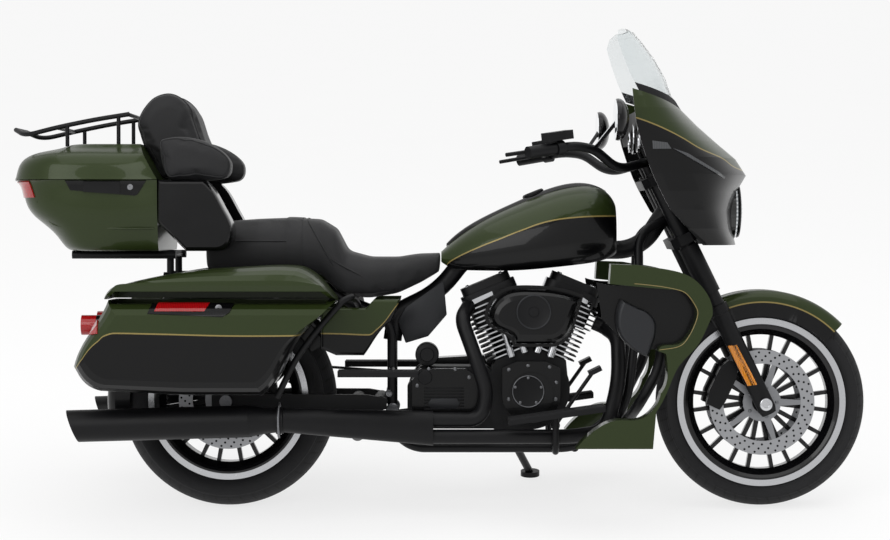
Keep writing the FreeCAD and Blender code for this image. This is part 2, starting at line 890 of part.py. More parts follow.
def make_fender(label, place, radius, half, skirt, first, last):
    """Fender from one angle to another, measured about the axle from straight back over the top."""
    body = new_body(label, place)
    inner = radius - D.fender_wall
    width = half - D.fender_wall
    low = radius - skirt
    round_over = radius - skirt * 0.35
    runs = [
        [vec(low, half), vec(round_over, half)],
        (vec(radius - skirt * 0.08, half * 0.86), vec(radius, half * 0.5)),
        [vec(radius, -half * 0.5)], (vec(radius - skirt * 0.08, -half * 0.86), vec(round_over, -half)),
        [vec(low, -half)], [vec(low, -width)], [vec(round_over, -width)],
        (vec(inner - skirt * 0.08, -width * 0.86), vec(inner, -width * 0.5)), [vec(inner, width * 0.5)],
        (vec(inner - skirt * 0.08, width * 0.86), vec(round_over, width)), [vec(low, width)],
    ]
    sketch = new_sketch(body, "XY_Plane", runs_to_edges(runs), 0)
    sketch.AttachmentOffset = FreeCAD.Placement(vec(0, 0, 0), turned("y", first - 180))
    revolve(body, sketch, angle=str(last - first))
    return body


def add_fender_bosses(body):
    """Boss on each side of the front fender that the fork's slider is bolted to."""
    low = RAKE.multVec(vec(0, 0, D.slider_length - D.boss_drop))
    boss = new_sketch(body, "XZ_Plane", [circle(low.x, low.z, D.boss_radius)],
        "front_fender_half - fender_wall / 2")
    length = "fork_half_width - slider_radius - seat_gap - front_fender_half + fender_wall / 2"
    mirror(body, [pad(body, boss, length)])


add_fender_bosses(make_fender(
    "front_fender", FRONT_WHEEL_PLACE, D.front_fender_radius, D.front_fender_half,
    D.front_fender_skirt, D.front_fender_start, D.front_fender_end,
))
make_fender(
    "rear_fender", REAR_WHEEL_PLACE, D.rear_fender_radius, D.rear_fender_half,
    D.rear_fender_skirt, D.rear_fender_start, D.rear_fender_end,
)


# Brake calipers: bridges over the disc's edge behind the axle line

CALIPER_SHARES = [
    [(0.0, 0.1), (0.0, 0.85)], [(0.25, 1.0)], [(0.8, 1.0)], [(1.0, 0.75)], [(1.0, 0.2)], [(0.7, 0.0)],
    [(0.2, 0.0)],
]


def make_calipers(label, place, disc_radius, disc_seat, angle, reach, sides):
    """Caliper on each side asked for, at an angle about the axle, with a lug to what holds it."""
    half = D.caliper_length / 2
    inner = D.caliper_inner
    outer = D.fork_half_width - D.slider_radius - D.seat_gap
    middle = disc_radius - D.caliper_width * 0.45
    corner = (-half, middle - D.caliper_width / 2)
    outline = placed(CALIPER_SHARES, corner, (D.caliper_length, D.caliper_width))
    turn = FreeCAD.Placement(vec(0, 0, 0), turned("y", angle - 90))
    pieces = []
    for side in sides:
        whole = plate(outline, inner, outer - inner)
        slot_in = disc_seat - D.part_gap
        slot = block(
            (-D.caliper_length, D.caliper_length),
            (-disc_seat - D.disc_thickness - D.part_gap, -slot_in),
            (0, disc_radius + D.part_gap),
        )
        piece = whole.cut(slot)
        if reach > outer:
            foot = vec(0, -outer + D.disc_thickness, middle)
            piece = merged([piece, rod(foot, vec(0, -reach, middle), D.caliper_width * 0.2)])
        if side > 0:
            piece = piece.mirror(vec(0, 0, 0), vec(0, 1, 0))
        pieces.append(piece)
    return solid_part(label, Part.makeCompound(pieces), place.multiply(turn))


make_calipers(
    "front_calipers", FRONT_WHEEL_PLACE, D.front_disc_radius, D.front_hub_half, D.front_caliper_angle, 0,
    (-1, 1),
)
make_calipers(
    "rear_caliper", REAR_WHEEL_PLACE, D.rear_disc_radius, D.rear_hub_half, D.rear_caliper_angle,
    D.arm_inner - D.seat_gap, (-1,),
)


# Engine: cases, covers and the two finned cylinders

GEARBOX_COVER_SHARES = [
    [(0.0, 0.3), (0.0, 0.8)], [(0.12, 1.0)], [(0.8, 1.0)], [(1.0, 0.84)], [(1.0, 0.2)], [(0.82, 0.0)],
    [(0.16, 0.0)],
]


def make_engine_cases():
    body = new_body("engine_cases")
    deck = D.deck_height - D.seat_gap
    turn = math.radians(D.cylinder_angle)
    ends = []
    for side in (-1, 1):
        axis = vec(side * math.sin(turn), math.cos(turn))
        across = vec(axis.y, -axis.x) * side
        middle = vec(D.crank_forward, D.crank_height) + axis * deck
        ends.append((middle, middle + across * D.barrel_radius * 1.15))
    valley = vec(D.crank_forward, D.crank_height + deck / math.cos(turn))
    front = D.crank_forward + D.crankcase_radius
    bottom = D.crank_height - D.crankcase_radius
    runs = [
        [ends[0][1], valley], [ends[1][1]], [vec(front, D.crank_height + D.barrel_radius)],
        (vec(front - D.crankcase_radius * 0.28, bottom + D.crankcase_radius * 0.3),
            vec(D.crank_forward, bottom)),
        [vec(D.crank_forward - D.crankcase_radius, bottom)],
        [vec(D.crank_forward - D.crankcase_radius * 1.3, D.crank_height)],
    ]
    pad(body, new_sketch(body, "XZ_Plane", runs_to_edges(runs)), "case_half * 2", symmetric=True)
    joint = D.crank_forward - D.crankcase_radius
    box = [
        vec(D.gearbox_rear, D.gearbox_bottom + D.overrun), vec(D.gearbox_rear + D.overrun, D.gearbox_bottom),
        vec(joint, D.gearbox_bottom), vec(joint, D.gearbox_top - D.overrun),
        vec(joint - D.overrun, D.gearbox_top), vec(D.gearbox_rear + D.overrun * 2, D.gearbox_top),
        vec(D.gearbox_rear, D.gearbox_top - D.overrun * 3),
    ]
    sketch = new_sketch(body, "XZ_Plane", runs_to_edges([[corner] for corner in box]))
    pad(body, sketch, "gearbox_half * 2", symmetric=True)
    sprocket = [circle(D.sprocket_forward, D.sprocket_height, D.sprocket_radius)]
    boss = new_sketch(body, "XZ_Plane", sprocket, "-gearbox_half")
    pad(body, boss, "rear_tyre_half + belt_gap + belt_width - gearbox_half", inward=True)
    boss = new_sketch(body, "XZ_Plane", [circle(D.crank_forward, D.crank_height, D.timer_radius)],
        "-case_half")
    pad(body, boss, "primary_inner - case_half - seat_gap", inward=True)
    spots = [(forward, side * D.foot_out) for forward in engine_feet() for side in (-1, 1)]
    feet = [circle(forward, out, D.foot_radius) for forward, out in spots]
    start = "rail_bottom + rail_radius * 0.9 + seat_gap"
    pad(body, new_sketch(body, "XY_Plane", feet, start), "gearbox_bottom - rail_bottom")


def make_engine_covers():
    """Cam, timer and gearbox covers on the right, primary cover on the left."""
    body = new_body("engine_covers")
    outer = D.case_half + D.seat_gap
    radius = D.timer_radius * 1.35
    centre = vec(D.crank_forward, D.crank_height)
    cam = [
        [centre + vec(-radius, 0), centre + vec(-radius, radius * 0.9)],
        [centre + vec(-radius * 0.5, radius * 1.12)],
        [centre + vec(radius * 0.5, radius * 1.12)], [centre + vec(radius, radius * 0.9)],
        [centre + vec(radius, 0)], (centre + vec(0, -radius), centre + vec(-radius, 0)),
    ]
    pad(body, new_sketch(body, "XZ_Plane", runs_to_edges(cam), outer), "cam_cover_depth")
    timer = new_sketch(body, "XZ_Plane", [circle(centre.x, centre.y, D.timer_radius)],
        outer + D.cam_cover_depth)
    pad(body, timer, "part_gap * 4")
    rear = vec(D.gearbox_rear + D.primary_rear_radius, D.crank_height)
    front_top = centre + vec(0, D.primary_front_radius)
    rear_top = rear + vec(0, D.primary_rear_radius)
    front_low = centre - vec(0, D.primary_front_radius)
    rear_low = rear - vec(0, D.primary_rear_radius)
    primary = [
        [rear_top, front_top], (centre + vec(D.primary_front_radius, 0), front_low),
        [rear_low], (rear - vec(D.primary_rear_radius, 0), rear_top),
    ]
    sketch = new_sketch(body, "XZ_Plane", runs_to_edges(primary), "-primary_inner")
    pad(body, sketch, "primary_depth", inward=True)
    outline = placed(
        GEARBOX_COVER_SHARES, (D.gearbox_cover_rear, D.gearbox_cover_bottom),
        (D.gearbox_cover_length, D.gearbox_cover_height),
    )
    sketch = new_sketch(body, "XZ_Plane", runs_to_edges(outline), "gearbox_half + seat_gap")
    pad(body, sketch, "gearbox_cover_depth")


def fin_outline(half_length, half_width, corner):
    """Rounded rectangle of a cooling fin."""
    run = half_length - corner
    flat = half_width - corner
    slant = corner * (1 - math.sqrt(0.5))
    far = half_length - slant
    wide = half_width - slant
    return [
        [vec(half_length, -flat), vec(half_length, flat)], (vec(far, wide), vec(run, half_width)),
        [vec(-run, half_width)], (vec(-far, wide), vec(-half_length, flat)),
        [vec(-half_length, -flat)], (vec(-far, -wide), vec(-run, -half_width)),
        [vec(run, -half_width)], (vec(far, -wide), vec(half_length, -flat)),
    ]


def trim_inner_side(body, side, bottom, top):
    """Cut a cylinder's piece back to the plane halfway between the two cylinders."""
    tangent = math.tan(math.radians(D.cylinder_angle))
    far = -side * D.fin_half_length * 2
    near_low = -side * (bottom * tangent - D.part_gap)
    near_top = -side * (top * tangent - D.part_gap)
    corners = [vec(near_low, bottom), vec(near_top, top), vec(far, top), vec(far, bottom)]
    sketch = new_sketch(body, "XZ_Plane", runs_to_edges([[corner] for corner in corners]))
    pocket(body, sketch, "fin_half_width * 4", symmetric=True)


def make_cylinder(label, side):
    body = new_body(label, cylinder_place(side))
    barrel = new_sketch(body, "XY_Plane", [circle(0, 0, D.barrel_radius)], "deck_height")
    pad(body, barrel, "barrel_height - seat_gap")
    outline = runs_to_edges(fin_outline(D.fin_half_length, D.fin_half_width, D.fin_corner))
    sketch = new_sketch(body, "XY_Plane", outline, "deck_height + fin_thickness")
    fin = pad(body, sketch, "fin_thickness")
    pattern = body.newObject("PartDesign::LinearPattern", f"{label}_fins")
    pattern.Originals = [fin]
    pattern.Direction = (origin_feature(body, "Z_Axis"), [""])
    count = int((D.barrel_height - D.fin_thickness) // D.fin_pitch) + 1
    bind(pattern, "Length", f"fin_pitch * {count - 1}")
    pattern.Occurrences = count
    body.Tip = pattern
    trim_inner_side(body, side, D.deck_height - D.overrun, D.deck_height + D.barrel_height + D.overrun)


def make_head(label, side):
    body = new_body(label, cylinder_place(side))
    base = D.deck_height + D.barrel_height
    core = runs_to_edges(fin_outline(D.rocker_half_length, D.rocker_half_width, D.fin_corner))
    pad(body, new_sketch(body, "XY_Plane", core, base), "head_height + rocker_height")
    outline = runs_to_edges(fin_outline(D.head_half_length, D.fin_half_width, D.fin_corner))
    fin = pad(body, new_sketch(body, "XY_Plane", outline, base + D.fin_thickness), "fin_thickness")
    pattern = body.newObject("PartDesign::LinearPattern", f"{label}_fins")
    pattern.Originals = [fin]
    pattern.Direction = (origin_feature(body, "Z_Axis"), [""])
    count = int((D.head_height - D.fin_thickness * 2) // D.fin_pitch) + 1
    bind(pattern, "Length", f"fin_pitch * {count - 1}")
    pattern.Occurrences = count
    body.Tip = pattern
    cover = runs_to_edges(fin_outline(D.rocker_half_length + D.overrun / 2,
        D.rocker_half_width + D.overrun / 2, D.fin_corner))
    pad(body, new_sketch(body, "XY_Plane", cover, base + D.head_height), "rocker_height * 0.55")
    trim_inner_side(body, side, base - D.overrun, base + D.head_height + D.rocker_height + D.overrun)


make_engine_cases()
make_engine_covers()
make_cylinder("cylinder_rear", -1)
make_cylinder("cylinder_front", 1)
make_head("head_rear", -1)
make_head("head_front", 1)


# Engine's open sides: pushrod tubes, air cleaner and exhaust

PUSHROD_FOOT_SHARES = [(-0.52, 1.18), (-0.16, 1.3), (0.16, 1.3), (0.52, 1.18)]
PUSHROD_HEAD_SHARES = [(-0.98, 2.5), (-0.62, 2.5), (0.62, 2.5), (0.98, 2.5)]


def make_pushrod_tubes():
    """Four bright tubes from the lifter blocks up to the heads, on the right."""
    shapes = []
    scale = D.crankcase_radius
    for foot, head in zip(PUSHROD_FOOT_SHARES, PUSHROD_HEAD_SHARES):
        low = CRANK + vec(foot[0] * scale, -D.pushrod_out, foot[1] * scale - D.barrel_radius * 0.4)
        high = CRANK + vec(head[0] * scale, -D.pushrod_out, head[1] * scale)
        along = (high - low).normalize()
        shapes.append(rod(low, high, D.pushrod_radius))
        shapes.append(rod(low, low + along * D.fin_pitch * 2, D.pushrod_radius * 1.35))
    return solid_part("pushrod_tubes", merged(shapes))


AIR_COVER_SHARES = [
    [(0.0, 0.5), (0.06, 0.77), (0.17, 0.93), (0.45, 1.0), (0.75, 0.96), (1.0, 0.84)],
    [(0.91, 0.36)], [(0.77, 0.04), (0.7, 0.0)], [(0.29, 0.0)], [(0.2, 0.2), (0.06, 0.32), (0.0, 0.5)],
]


def make_air_cleaner():
    """Air cleaner over the V of the cylinders, with its back plate and round centre cap."""
    corner = (D.crank_forward - D.air_length * 0.47, D.air_bottom)
    span = (D.air_length, D.air_height)
    body = new_body("air_cleaner")
    outline = runs_to_edges(placed(AIR_COVER_SHARES, corner, span))
    pad(body, new_sketch(body, "XZ_Plane", outline, "air_plate_out"), "air_plate_thickness")
    rim = D.air_plate_thickness
    start = D.air_plate_out + rim
    end = D.air_plate_out + D.air_cover_depth
    steps = rounded_steps(start, end, (end - start) * 0.6, rim * 3)
    inner = (corner[0] + rim, corner[1] + rim)
    domed(body, "XZ_Plane", AIR_COVER_SHARES, inner, (span[0] - rim * 2, span[1] - rim * 2), steps)
    middle = (corner[0] + span[0] * 0.47, corner[1] + span[1] * 0.55)
    cap = new_sketch(body, "XZ_Plane", [circle(*middle, D.air_cap_radius)], "air_plate_out + air_cover_depth")
    pad(body, cap, "part_gap")
    stub = new_sketch(body, "XZ_Plane", [circle(*middle, D.air_cap_radius * 0.6)], "air_plate_out")
    pad(body, stub, "air_plate_out - fin_half_width - seat_gap", inward=True)


# Routes of the pipes: forward, out to the right and up, the two headers from the crank
REAR_HEADER_SHARES = [
    (0.654, 0.0, 1.0), (0.519, 0.569, 0.898), (0.765, 0.914, 0.575), (1.0, 1.0, 0.246), (0.889, 1.0, 0.0),
    (0.0, 1.0, 0.0),
]
FRONT_HEADER_SHARES = [
    (0.876, 0.0, 1.0), (0.929, 0.0, 0.962), (1.0, 0.341, 0.875), (1.0, 0.614, 0.487),
    (0.925, 0.92, 0.045), (0.743, 1.0, 0.0),
    (0.0, 1.0, 0.0),
]
CROSSOVER_SHARES = [
    (1.0, 1.0, 0.607), (0.963, 0.824, 0.0), (0.963, 0.275, 0.0), (0.701, 0.027, 0.75), (0.0, 0.0, 1.0),
]


def make_exhaust_headers():
    """Two header pipes, a heat shield to the right muffler and a pipe across to the left one."""
    rear = spread(
        REAR_HEADER_SHARES,
        (D.crank_forward + D.rear_header_rear, -D.rear_header_inner, D.crank_height + D.rear_header_low),
        (D.rear_header_length, -D.rear_header_spread, D.rear_header_rise),
    )
    port_up = D.deck_height + D.barrel_height + D.head_height / 2
    port = cylinder_place(1).multVec(vec(D.head_half_length, 0, port_up))
    corner = vec(D.crank_forward + D.rear_header_rear, -D.front_header_inner,
        D.crank_height + D.front_header_low)
    front = spread(
        FRONT_HEADER_SHARES, corner,
        (port.x + D.front_header_reach - corner.x, -D.front_header_spread, port.z - D.port_drop - corner.z),
    )
    join = (rear[-1] + front[-1]) * 0.5
    wide = Part.Wire(Part.Ellipse(vec(0, 0), D.collector_half, D.header_radius * 1.5).toShape())
    narrow = Part.Wire(Part.Circle(vec(0, 0), vec(0, 0, 1), D.collector_end_radius).toShape())
    wide.transformShape(FreeCAD.Placement(join, turned("y", -90)).toMatrix())
    end = D.muffler_front + D.collector_end_radius * math.sin(math.radians(D.muffler_rise)) + D.seat_gap
    at_muffler = vec(end, -D.muffler_out, D.muffler_height)
    narrow.transformShape(FreeCAD.Placement(at_muffler, turned("y", -90)).toMatrix())
    shield = Part.makeLoft([wide, narrow], True)
    cross = spread(
        CROSSOVER_SHARES,
        (end + D.part_gap * 0.74, D.muffler_out, D.crossover_low),
        (D.crossover_length, -D.crossover_spread, D.crossover_rise),
    )
    pipes = [tube(rear, D.header_radius), tube(front, D.header_radius), shield]
    return solid_part("exhaust_headers", merged(pipes + [tube(cross, D.header_radius * 0.96, 0.4)]))


def make_mufflers():
    """A muffler on each side: clamp, tapered front, long can and a slanted open end."""
    radius = D.muffler_radius
    neck = D.collector_end_radius
    wall = D.muffler_wall
    length = D.muffler_length
    profile = [
        [vec(0, 0), vec(0, neck + wall)], [vec(neck * 0.6, neck + wall)], [vec(neck * 0.6, neck)],
        [vec(length * 0.1, neck + wall), vec(length * 0.16, radius)], [vec(length, radius)],
        [vec(length, radius - wall)], [vec(length * 0.8, radius - wall)], [vec(length * 0.8, 0)],
    ]
    rise = turned("z", 180).multiply(turned("y", D.muffler_rise))
    place = FreeCAD.Placement(vec(D.muffler_front, 0, D.muffler_height), rise)
    body = new_body("mufflers", place)
    sketch = new_sketch(body, "XZ_Plane", runs_to_edges(profile), "muffler_out")
    can = body.newObject("PartDesign::Revolution", "mufflers_can")
    can.Profile = sketch
    can.ReferenceAxis = (sketch, ["H_Axis"])
    can.Angle = 360
    mirror(body, [can])
    slash = [
        vec(length - radius * 0.8, -radius * 1.1), vec(length + radius, -radius * 1.1),
        vec(length + radius, radius * 1.1), vec(length, radius * 1.1),
    ]
    sketch = new_sketch(body, "XZ_Plane", runs_to_edges([[corner] for corner in slash]))
    pocket(body, sketch, "muffler_out * 3", symmetric=True)


make_pushrod_tubes()
make_air_cleaner()
make_exhaust_headers()
make_mufflers()


# Frame, swingarm and shocks

POST_FORWARD = D.pivot_forward + D.pivot_radius + D.seat_gap + D.rail_radius
# Forward, out and up
RAIL_SHARES = [
    (1.0, 0.0, 1.0), (0.944, 0.224, 0.928), (0.943, 0.673, 0.617), (0.908, 0.959, 0.0), (0.492, 0.959, 0.0),
    (0.4513, 0.633, 0.072), (0.4513, 0.633, 0.561), (0.374, 1.0, 0.622), (0.321, 1.0, 0.695),
    (0.256, 1.0, 0.746),
    (0.0, 1.0, 0.746),
]
BACKBONE_SHARES = [
    (1.0, 0.0, 1.0), (0.9, 0.0, 0.683), (0.287, 0.0, 0.683), (0.168, 0.0, 0.364), (0.014, 0.0, 0.208),
    (0.0, 0.0, 0.0),
]
BACKBONE_TOP = D.backbone_low + D.backbone_rise * BACKBONE_SHARES[1][2] + D.backbone_radius
RAIL_LEVEL = D.rail_bottom + D.rail_height * RAIL_SHARES[-1][2]
CROSS_ROD_SHARES = (0.12, 0.88)
def fork_point(height, forward=0.0, side=0.0):
    """Point in the upright machine from a place along the steering axis."""
    return FORK_PLACE.multVec(vec(D.steering_offset + forward, side, height))


def rail_route(side):
    """Down tube, lower rail, post and rear rail of one side as one run."""
    corner = (D.rail_rear, side * D.rail_inner, D.rail_bottom)
    return spread(RAIL_SHARES, corner, (D.rail_length, side * D.rail_spread, D.rail_height))


def beside_rails(shape, side):
    """Cut a bracket's end to lie round the rail it is fixed to."""
    return shape.cut(tube(rail_route(side), D.rail_radius + D.seat_gap))


def make_frame():
    """Backbone, neck, twin down tubes, lower rails and the rear rails that carry the seat and case."""
    neck_low = D.lower_yoke + D.yoke_thickness + D.seat_gap
    neck_top = D.upper_yoke - D.seat_gap
    outer = rod(fork_point(neck_low), fork_point(neck_top), D.neck_radius)
    bore = rod(fork_point(neck_low - D.overrun), fork_point(neck_top + D.overrun), D.stem_radius + D.seat_gap)
    backbone = spread(
        BACKBONE_SHARES, (POST_FORWARD, 0, D.backbone_low), (D.backbone_length, 0, D.backbone_rise),
    )
    shapes = [outer, tube(backbone, D.backbone_radius)]
    rails = [rail_route(side) for side in (-1, 1)]
    shapes += [tube(rail, D.rail_radius) for rail in rails]
    right, left = rails
    for share in CROSS_ROD_SHARES:
        ends = [rail[-2] + (rail[-1] - rail[-2]) * share for rail in (right, left)]
        shapes.append(rod(*ends, D.rail_radius * 0.9))
    for forward in engine_feet() + [D.crank_forward + D.crankcase_radius + D.overrun]:
        low_cross = vec(forward, right[4].y, right[4].z)
        shapes.append(rod(low_cross, other_side(low_cross), D.rail_radius * 0.9))
    fender_top = REAR_AXLE.z + D.rear_fender_radius + D.rear_fender_skirt * FENDER_SWELL_SHARE
    perch = vec(REAR_AXLE.x, right[-1].y, fender_top + D.seat_gap + D.fender_rod_radius)
    shapes.append(rod(perch, other_side(perch), D.fender_rod_radius))
    post = vec(POST_FORWARD, right[5].y, D.backbone_low)
    shapes.append(rod(post, other_side(post), D.rail_radius * 0.9))
    return solid_part("frame", merged(shapes).cut(bore))


def make_swingarm():
    """Two arms and a cross tube, hung on the pivot behind the gearbox."""
    body = new_body("swingarm")
    low = D.arm_height * 0.42
    tail = -D.arm_height * 0.8
    waist = D.pivot_forward - D.arm_height * 0.7
    nose = D.pivot_forward + D.pivot_radius
    outline = [
        (tail, REAR_AXLE.z - low), (waist, D.pivot_height - D.arm_height / 2),
        (nose, D.pivot_height - D.arm_height * 0.3), (nose, D.pivot_height + D.arm_height * 0.3),
        (waist, D.pivot_height + D.arm_height / 2), (tail, REAR_AXLE.z + low),
    ]
    sketch = new_sketch(body, "XZ_Plane", runs_to_edges([[vec(*p)] for p in outline]), "arm_inner")
    arm = pad(body, sketch, "arm_thickness")
    mirror(body, [arm])
    for forward in (D.cross_tube_forward, D.pivot_forward):
        cross = new_sketch(body, "XZ_Plane", [circle(forward, D.pivot_height, D.pivot_radius)])
        pad(body, cross, "arm_inner * 2 + arm_thickness", symmetric=True)
    bore = new_sketch(body, "XZ_Plane", [circle(0, REAR_AXLE.z, D.axle_radius + D.running_gap)])
    pocket(body, bore, "rear_axle_half * 3", symmetric=True)


def make_shocks():
    """A shock on each side: rod, thicker body and an eye at each end that reaches its mounting."""
    shapes = []
    arm_top = REAR_AXLE.z + D.arm_height * 0.42
    reaches = (D.arm_inner, D.rail_inner + D.rail_spread + D.rail_radius)
    for side in (-1, 1):
        low = vec(D.shock_low_forward, side * D.shock_out, arm_top + D.shock_radius * 0.7 + D.seat_gap)
        high = vec(D.shock_high_forward, side * D.shock_out, RAIL_LEVEL - D.part_gap)
        along = (high - low).normalize()
        shapes.append(rod(low, high, D.shock_radius * 0.6))
        shapes.append(rod(low + along * D.shock_radius, low + along * D.shock_body, D.shock_radius))
        for eye, reach in zip((low, high), reaches):
            near = vec(eye.x, side * (reach + D.seat_gap), eye.z)
            far = vec(eye.x, side * (D.shock_out + D.shock_radius * 0.5), eye.z)
            shapes.append(rod(near, far, D.shock_radius * 0.7))
    return solid_part("rear_shocks", merged(shapes))


def make_belt():
    """Drive belt as one closed loop round the rear pulley and the gearbox sprocket."""
    rear = vec(0, REAR_AXLE.z)
    front = vec(D.sprocket_forward, D.sprocket_height)
    big = D.pulley_radius + D.seat_gap * 2
    small = D.sprocket_radius + D.seat_gap * 2
    span = front - rear
    tilt = math.atan2(span.y, span.x)
    wrap = math.acos((big - small) / span.Length)

    def loop(grow):
        ends = []
        for centre, radius in ((rear, big + grow), (front, small + grow)):
            for side in (1, -1):
                angle = tilt + side * wrap
                ends.append(centre + vec(math.cos(angle), math.sin(angle)) * radius)
        back = rear - vec(math.cos(tilt), math.sin(tilt)) * (big + grow)
        nose = front + vec(math.cos(tilt), math.sin(tilt)) * (small + grow)
        return runs_to_edges([[ends[1], ends[3]], (nose, ends[2]), [ends[0]], (back, ends[1])])

    body = new_body("drive_belt")
    pad(body, new_sketch(body, "XZ_Plane", loop(D.belt_thickness), -BELT_INNER), "belt_width", inward=True)
    pocket(body, new_sketch(body, "XZ_Plane", loop(0), D.overrun - BELT_INNER), "belt_width + 2 * overrun")


make_frame()
make_swingarm()
make_shocks()
make_belt()


# Bodywork lofted from sections across the machine

TANK_SECTION_SHARES = [(-0.78, 0.0), (-0.96, 0.16), (-1.0, 0.36), (-0.93, 0.62), (-0.68, 0.86),
    (-0.32, 0.975)]
# Each station: place along the tank, half width, underside and top
TANK_STATION_SHARES = [
    (0.0, 0.42, 0.10, 0.22), (0.06, 0.52, 0.03, 0.33), (0.2, 0.72, 0.0, 0.535), (0.4, 0.9, 0.0, 0.74),
    (0.6, 1.0, 0.03, 0.9), (0.78, 1.0, 0.07, 0.985), (0.92, 0.9, 0.12, 0.95), (1.0, 0.72, 0.2, 0.78),
]


def cross_section(shares, half, base, top, grow=0.0):
    """Closed section across the machine: a curve over the top and a straight underside."""
    right = [vec(half * u + math.copysign(grow, u), base + (top - base) * w + grow * w) for u, w in shares]
    whole = right + [vec(0, top + grow)] + [vec(-p.x, p.y) for p in reversed(right)]
    return [whole]


def loft_along(body, stations, kind="Additive", ruled=False):
    """Loft through sections, each given with its place along the machine."""
    sketches = [new_sketch(body, "YZ_Plane", runs_to_edges(runs), along) for along, runs in stations]
    return loft(body, sketches, kind, ruled)


TUNNEL_TOP = BACKBONE_TOP + D.seat_gap
TANK_BASE = TUNNEL_TOP - D.tunnel_depth


def tank_stations(grow=0.0):
    length = D.tank_front - D.tank_rear
    stations = []
    for along, wide, low, high in TANK_STATION_SHARES:
        bottom = TANK_BASE + D.tank_height * low
        top = TANK_BASE + D.tank_height * high
        section = cross_section(TANK_SECTION_SHARES, D.tank_half * wide, bottom, top, grow)
        stations.append((D.tank_rear + length * along, section))
    return stations


def make_tank():
    body = new_body("fuel_tank")
    loft_along(body, tank_stations())
    low = TANK_BASE - D.overrun
    shoulder = TUNNEL_TOP - D.tunnel_half
    tunnel = [
        [vec(-D.tunnel_half, low), vec(D.tunnel_half, low)], [vec(D.tunnel_half, shoulder)],
        (vec(0, TUNNEL_TOP), vec(-D.tunnel_half, shoulder)),
    ]
    sketch = new_sketch(body, "YZ_Plane", runs_to_edges(tunnel), "tank_rear - overrun")
    pocket(body, sketch, "tank_front - tank_rear + 2 * overrun", inward=True)


CONSOLE_STATION_SHARES = [(0.03, 0.55), (0.2, 0.9), (0.5, 1.0), (0.8, 1.0), (0.95, 0.7)]


def make_console():
    """Trim strip along the top of the tank, lying on its curve."""
    body = new_body("tank_console")
    sketches = []
    length = D.tank_front - D.tank_rear
    for along, wide in CONSOLE_STATION_SHARES:
        top = tank_crest(along)
        half = D.console_half * wide
        runs = [
            [vec(-half, top - D.overrun), vec(-half, top - D.console_height * 0.3)],
            [vec(-half * 0.6, top + D.console_height * 0.9), vec(0, top + D.console_height),
                vec(half * 0.6, top + D.console_height * 0.9), vec(half, top - D.console_height * 0.3)],
            [vec(half, top - D.overrun)],
        ]
        sketches.append(new_sketch(body, "YZ_Plane", runs_to_edges(runs), D.tank_rear + length * along))
    loft(body, sketches)
    loft_along(body, tank_stations(D.seat_gap), "Subtractive")


def tank_crest(along):
    """Height of the tank's top line at a share of its length."""
    for before, after in zip(TANK_STATION_SHARES, TANK_STATION_SHARES[1:]):
        if before[0] <= along <= after[0]:
            part = (along - before[0]) / (after[0] - before[0])
            return TANK_BASE + D.tank_height * (before[3] + (after[3] - before[3]) * part)
    raise ValueError("a place beyond the tank's ends")


SEAT_SECTION_SHARES = [(-0.9, 0.0), (-1.0, 0.3), (-0.97, 0.68), (-0.78, 0.92), (-0.4, 0.99)]
# Each station: place along the seat, half width, underside and top, above the seat's base
SEAT_REST = D.seat_drop / D.seat_height
SEAT_BASE = RAIL_LEVEL + D.rail_radius + D.seat_gap - D.seat_drop
SEAT_STATION_SHARES = [
    (0.0, 0.86, SEAT_REST, 0.86), (0.1, 0.95, SEAT_REST, 0.96), (0.22, 1.0, SEAT_REST, 0.985),
    (0.36, 1.0, SEAT_REST, 1.0),
    (0.49, 0.98, 0.3, 0.98), (0.555, 0.96, 0.1, 0.86), (0.6, 0.94, 0.02, 0.58), (0.7, 0.88, 0.0, 0.5),
    (0.82, 0.72, 0.06, 0.5), (0.92, 0.5, 0.2, 0.56), (1.0, 0.34, 0.34, 0.6),
]


def make_seat():
    """Two-step seat: the rider's bucket and the higher passenger part."""
    body = new_body("seat")
    length = D.seat_front - D.seat_rear
    stations = []
    for along, wide, low, high in SEAT_STATION_SHARES:
        bottom = SEAT_BASE + D.seat_height * low
        top = SEAT_BASE + D.seat_height * high
        section = cross_section(SEAT_SECTION_SHARES, D.seat_half * wide, bottom, top)
        stations.append((D.seat_rear + length * along, section))
    loft_along(body, stations, ruled=True)


make_tank()
make_console()
make_seat()


# Bags and case: hollow shells with separate lids

BAG_SHARES = [
    [(0.13, 1.0), (0.1, 0.83), (0.07, 0.7), (0.0, 0.3)], [(0.012, 0.24)], [(0.07, 0.07), (0.1, 0.043)],
    [(0.42, 0.0)], [(0.72, 0.0)], [(0.762, 0.12), (0.84, 0.54), (0.915, 0.78), (1.0, 1.0)],
]
BAG_LID_SHARES = [
    [(0.0, 0.0), (0.013, 0.19), (0.038, 0.36)],
    [(0.21, 0.66), (0.42, 0.88), (0.63, 0.97), (0.8, 1.0), (0.845, 0.97)],
    [(0.9, 0.77), (0.955, 0.4), (1.0, 0.0)],
]


def bag_steps(wall, side):
    """Steps from the inner face of a bag to its domed outer face, with the wall's thickness taken off."""
    steps = rounded_steps(D.bag_inner + wall, D.bag_outer - wall, D.bag_dome * 2, D.bag_dome)
    return [(-side * out, inset + wall) for out, inset in steps]


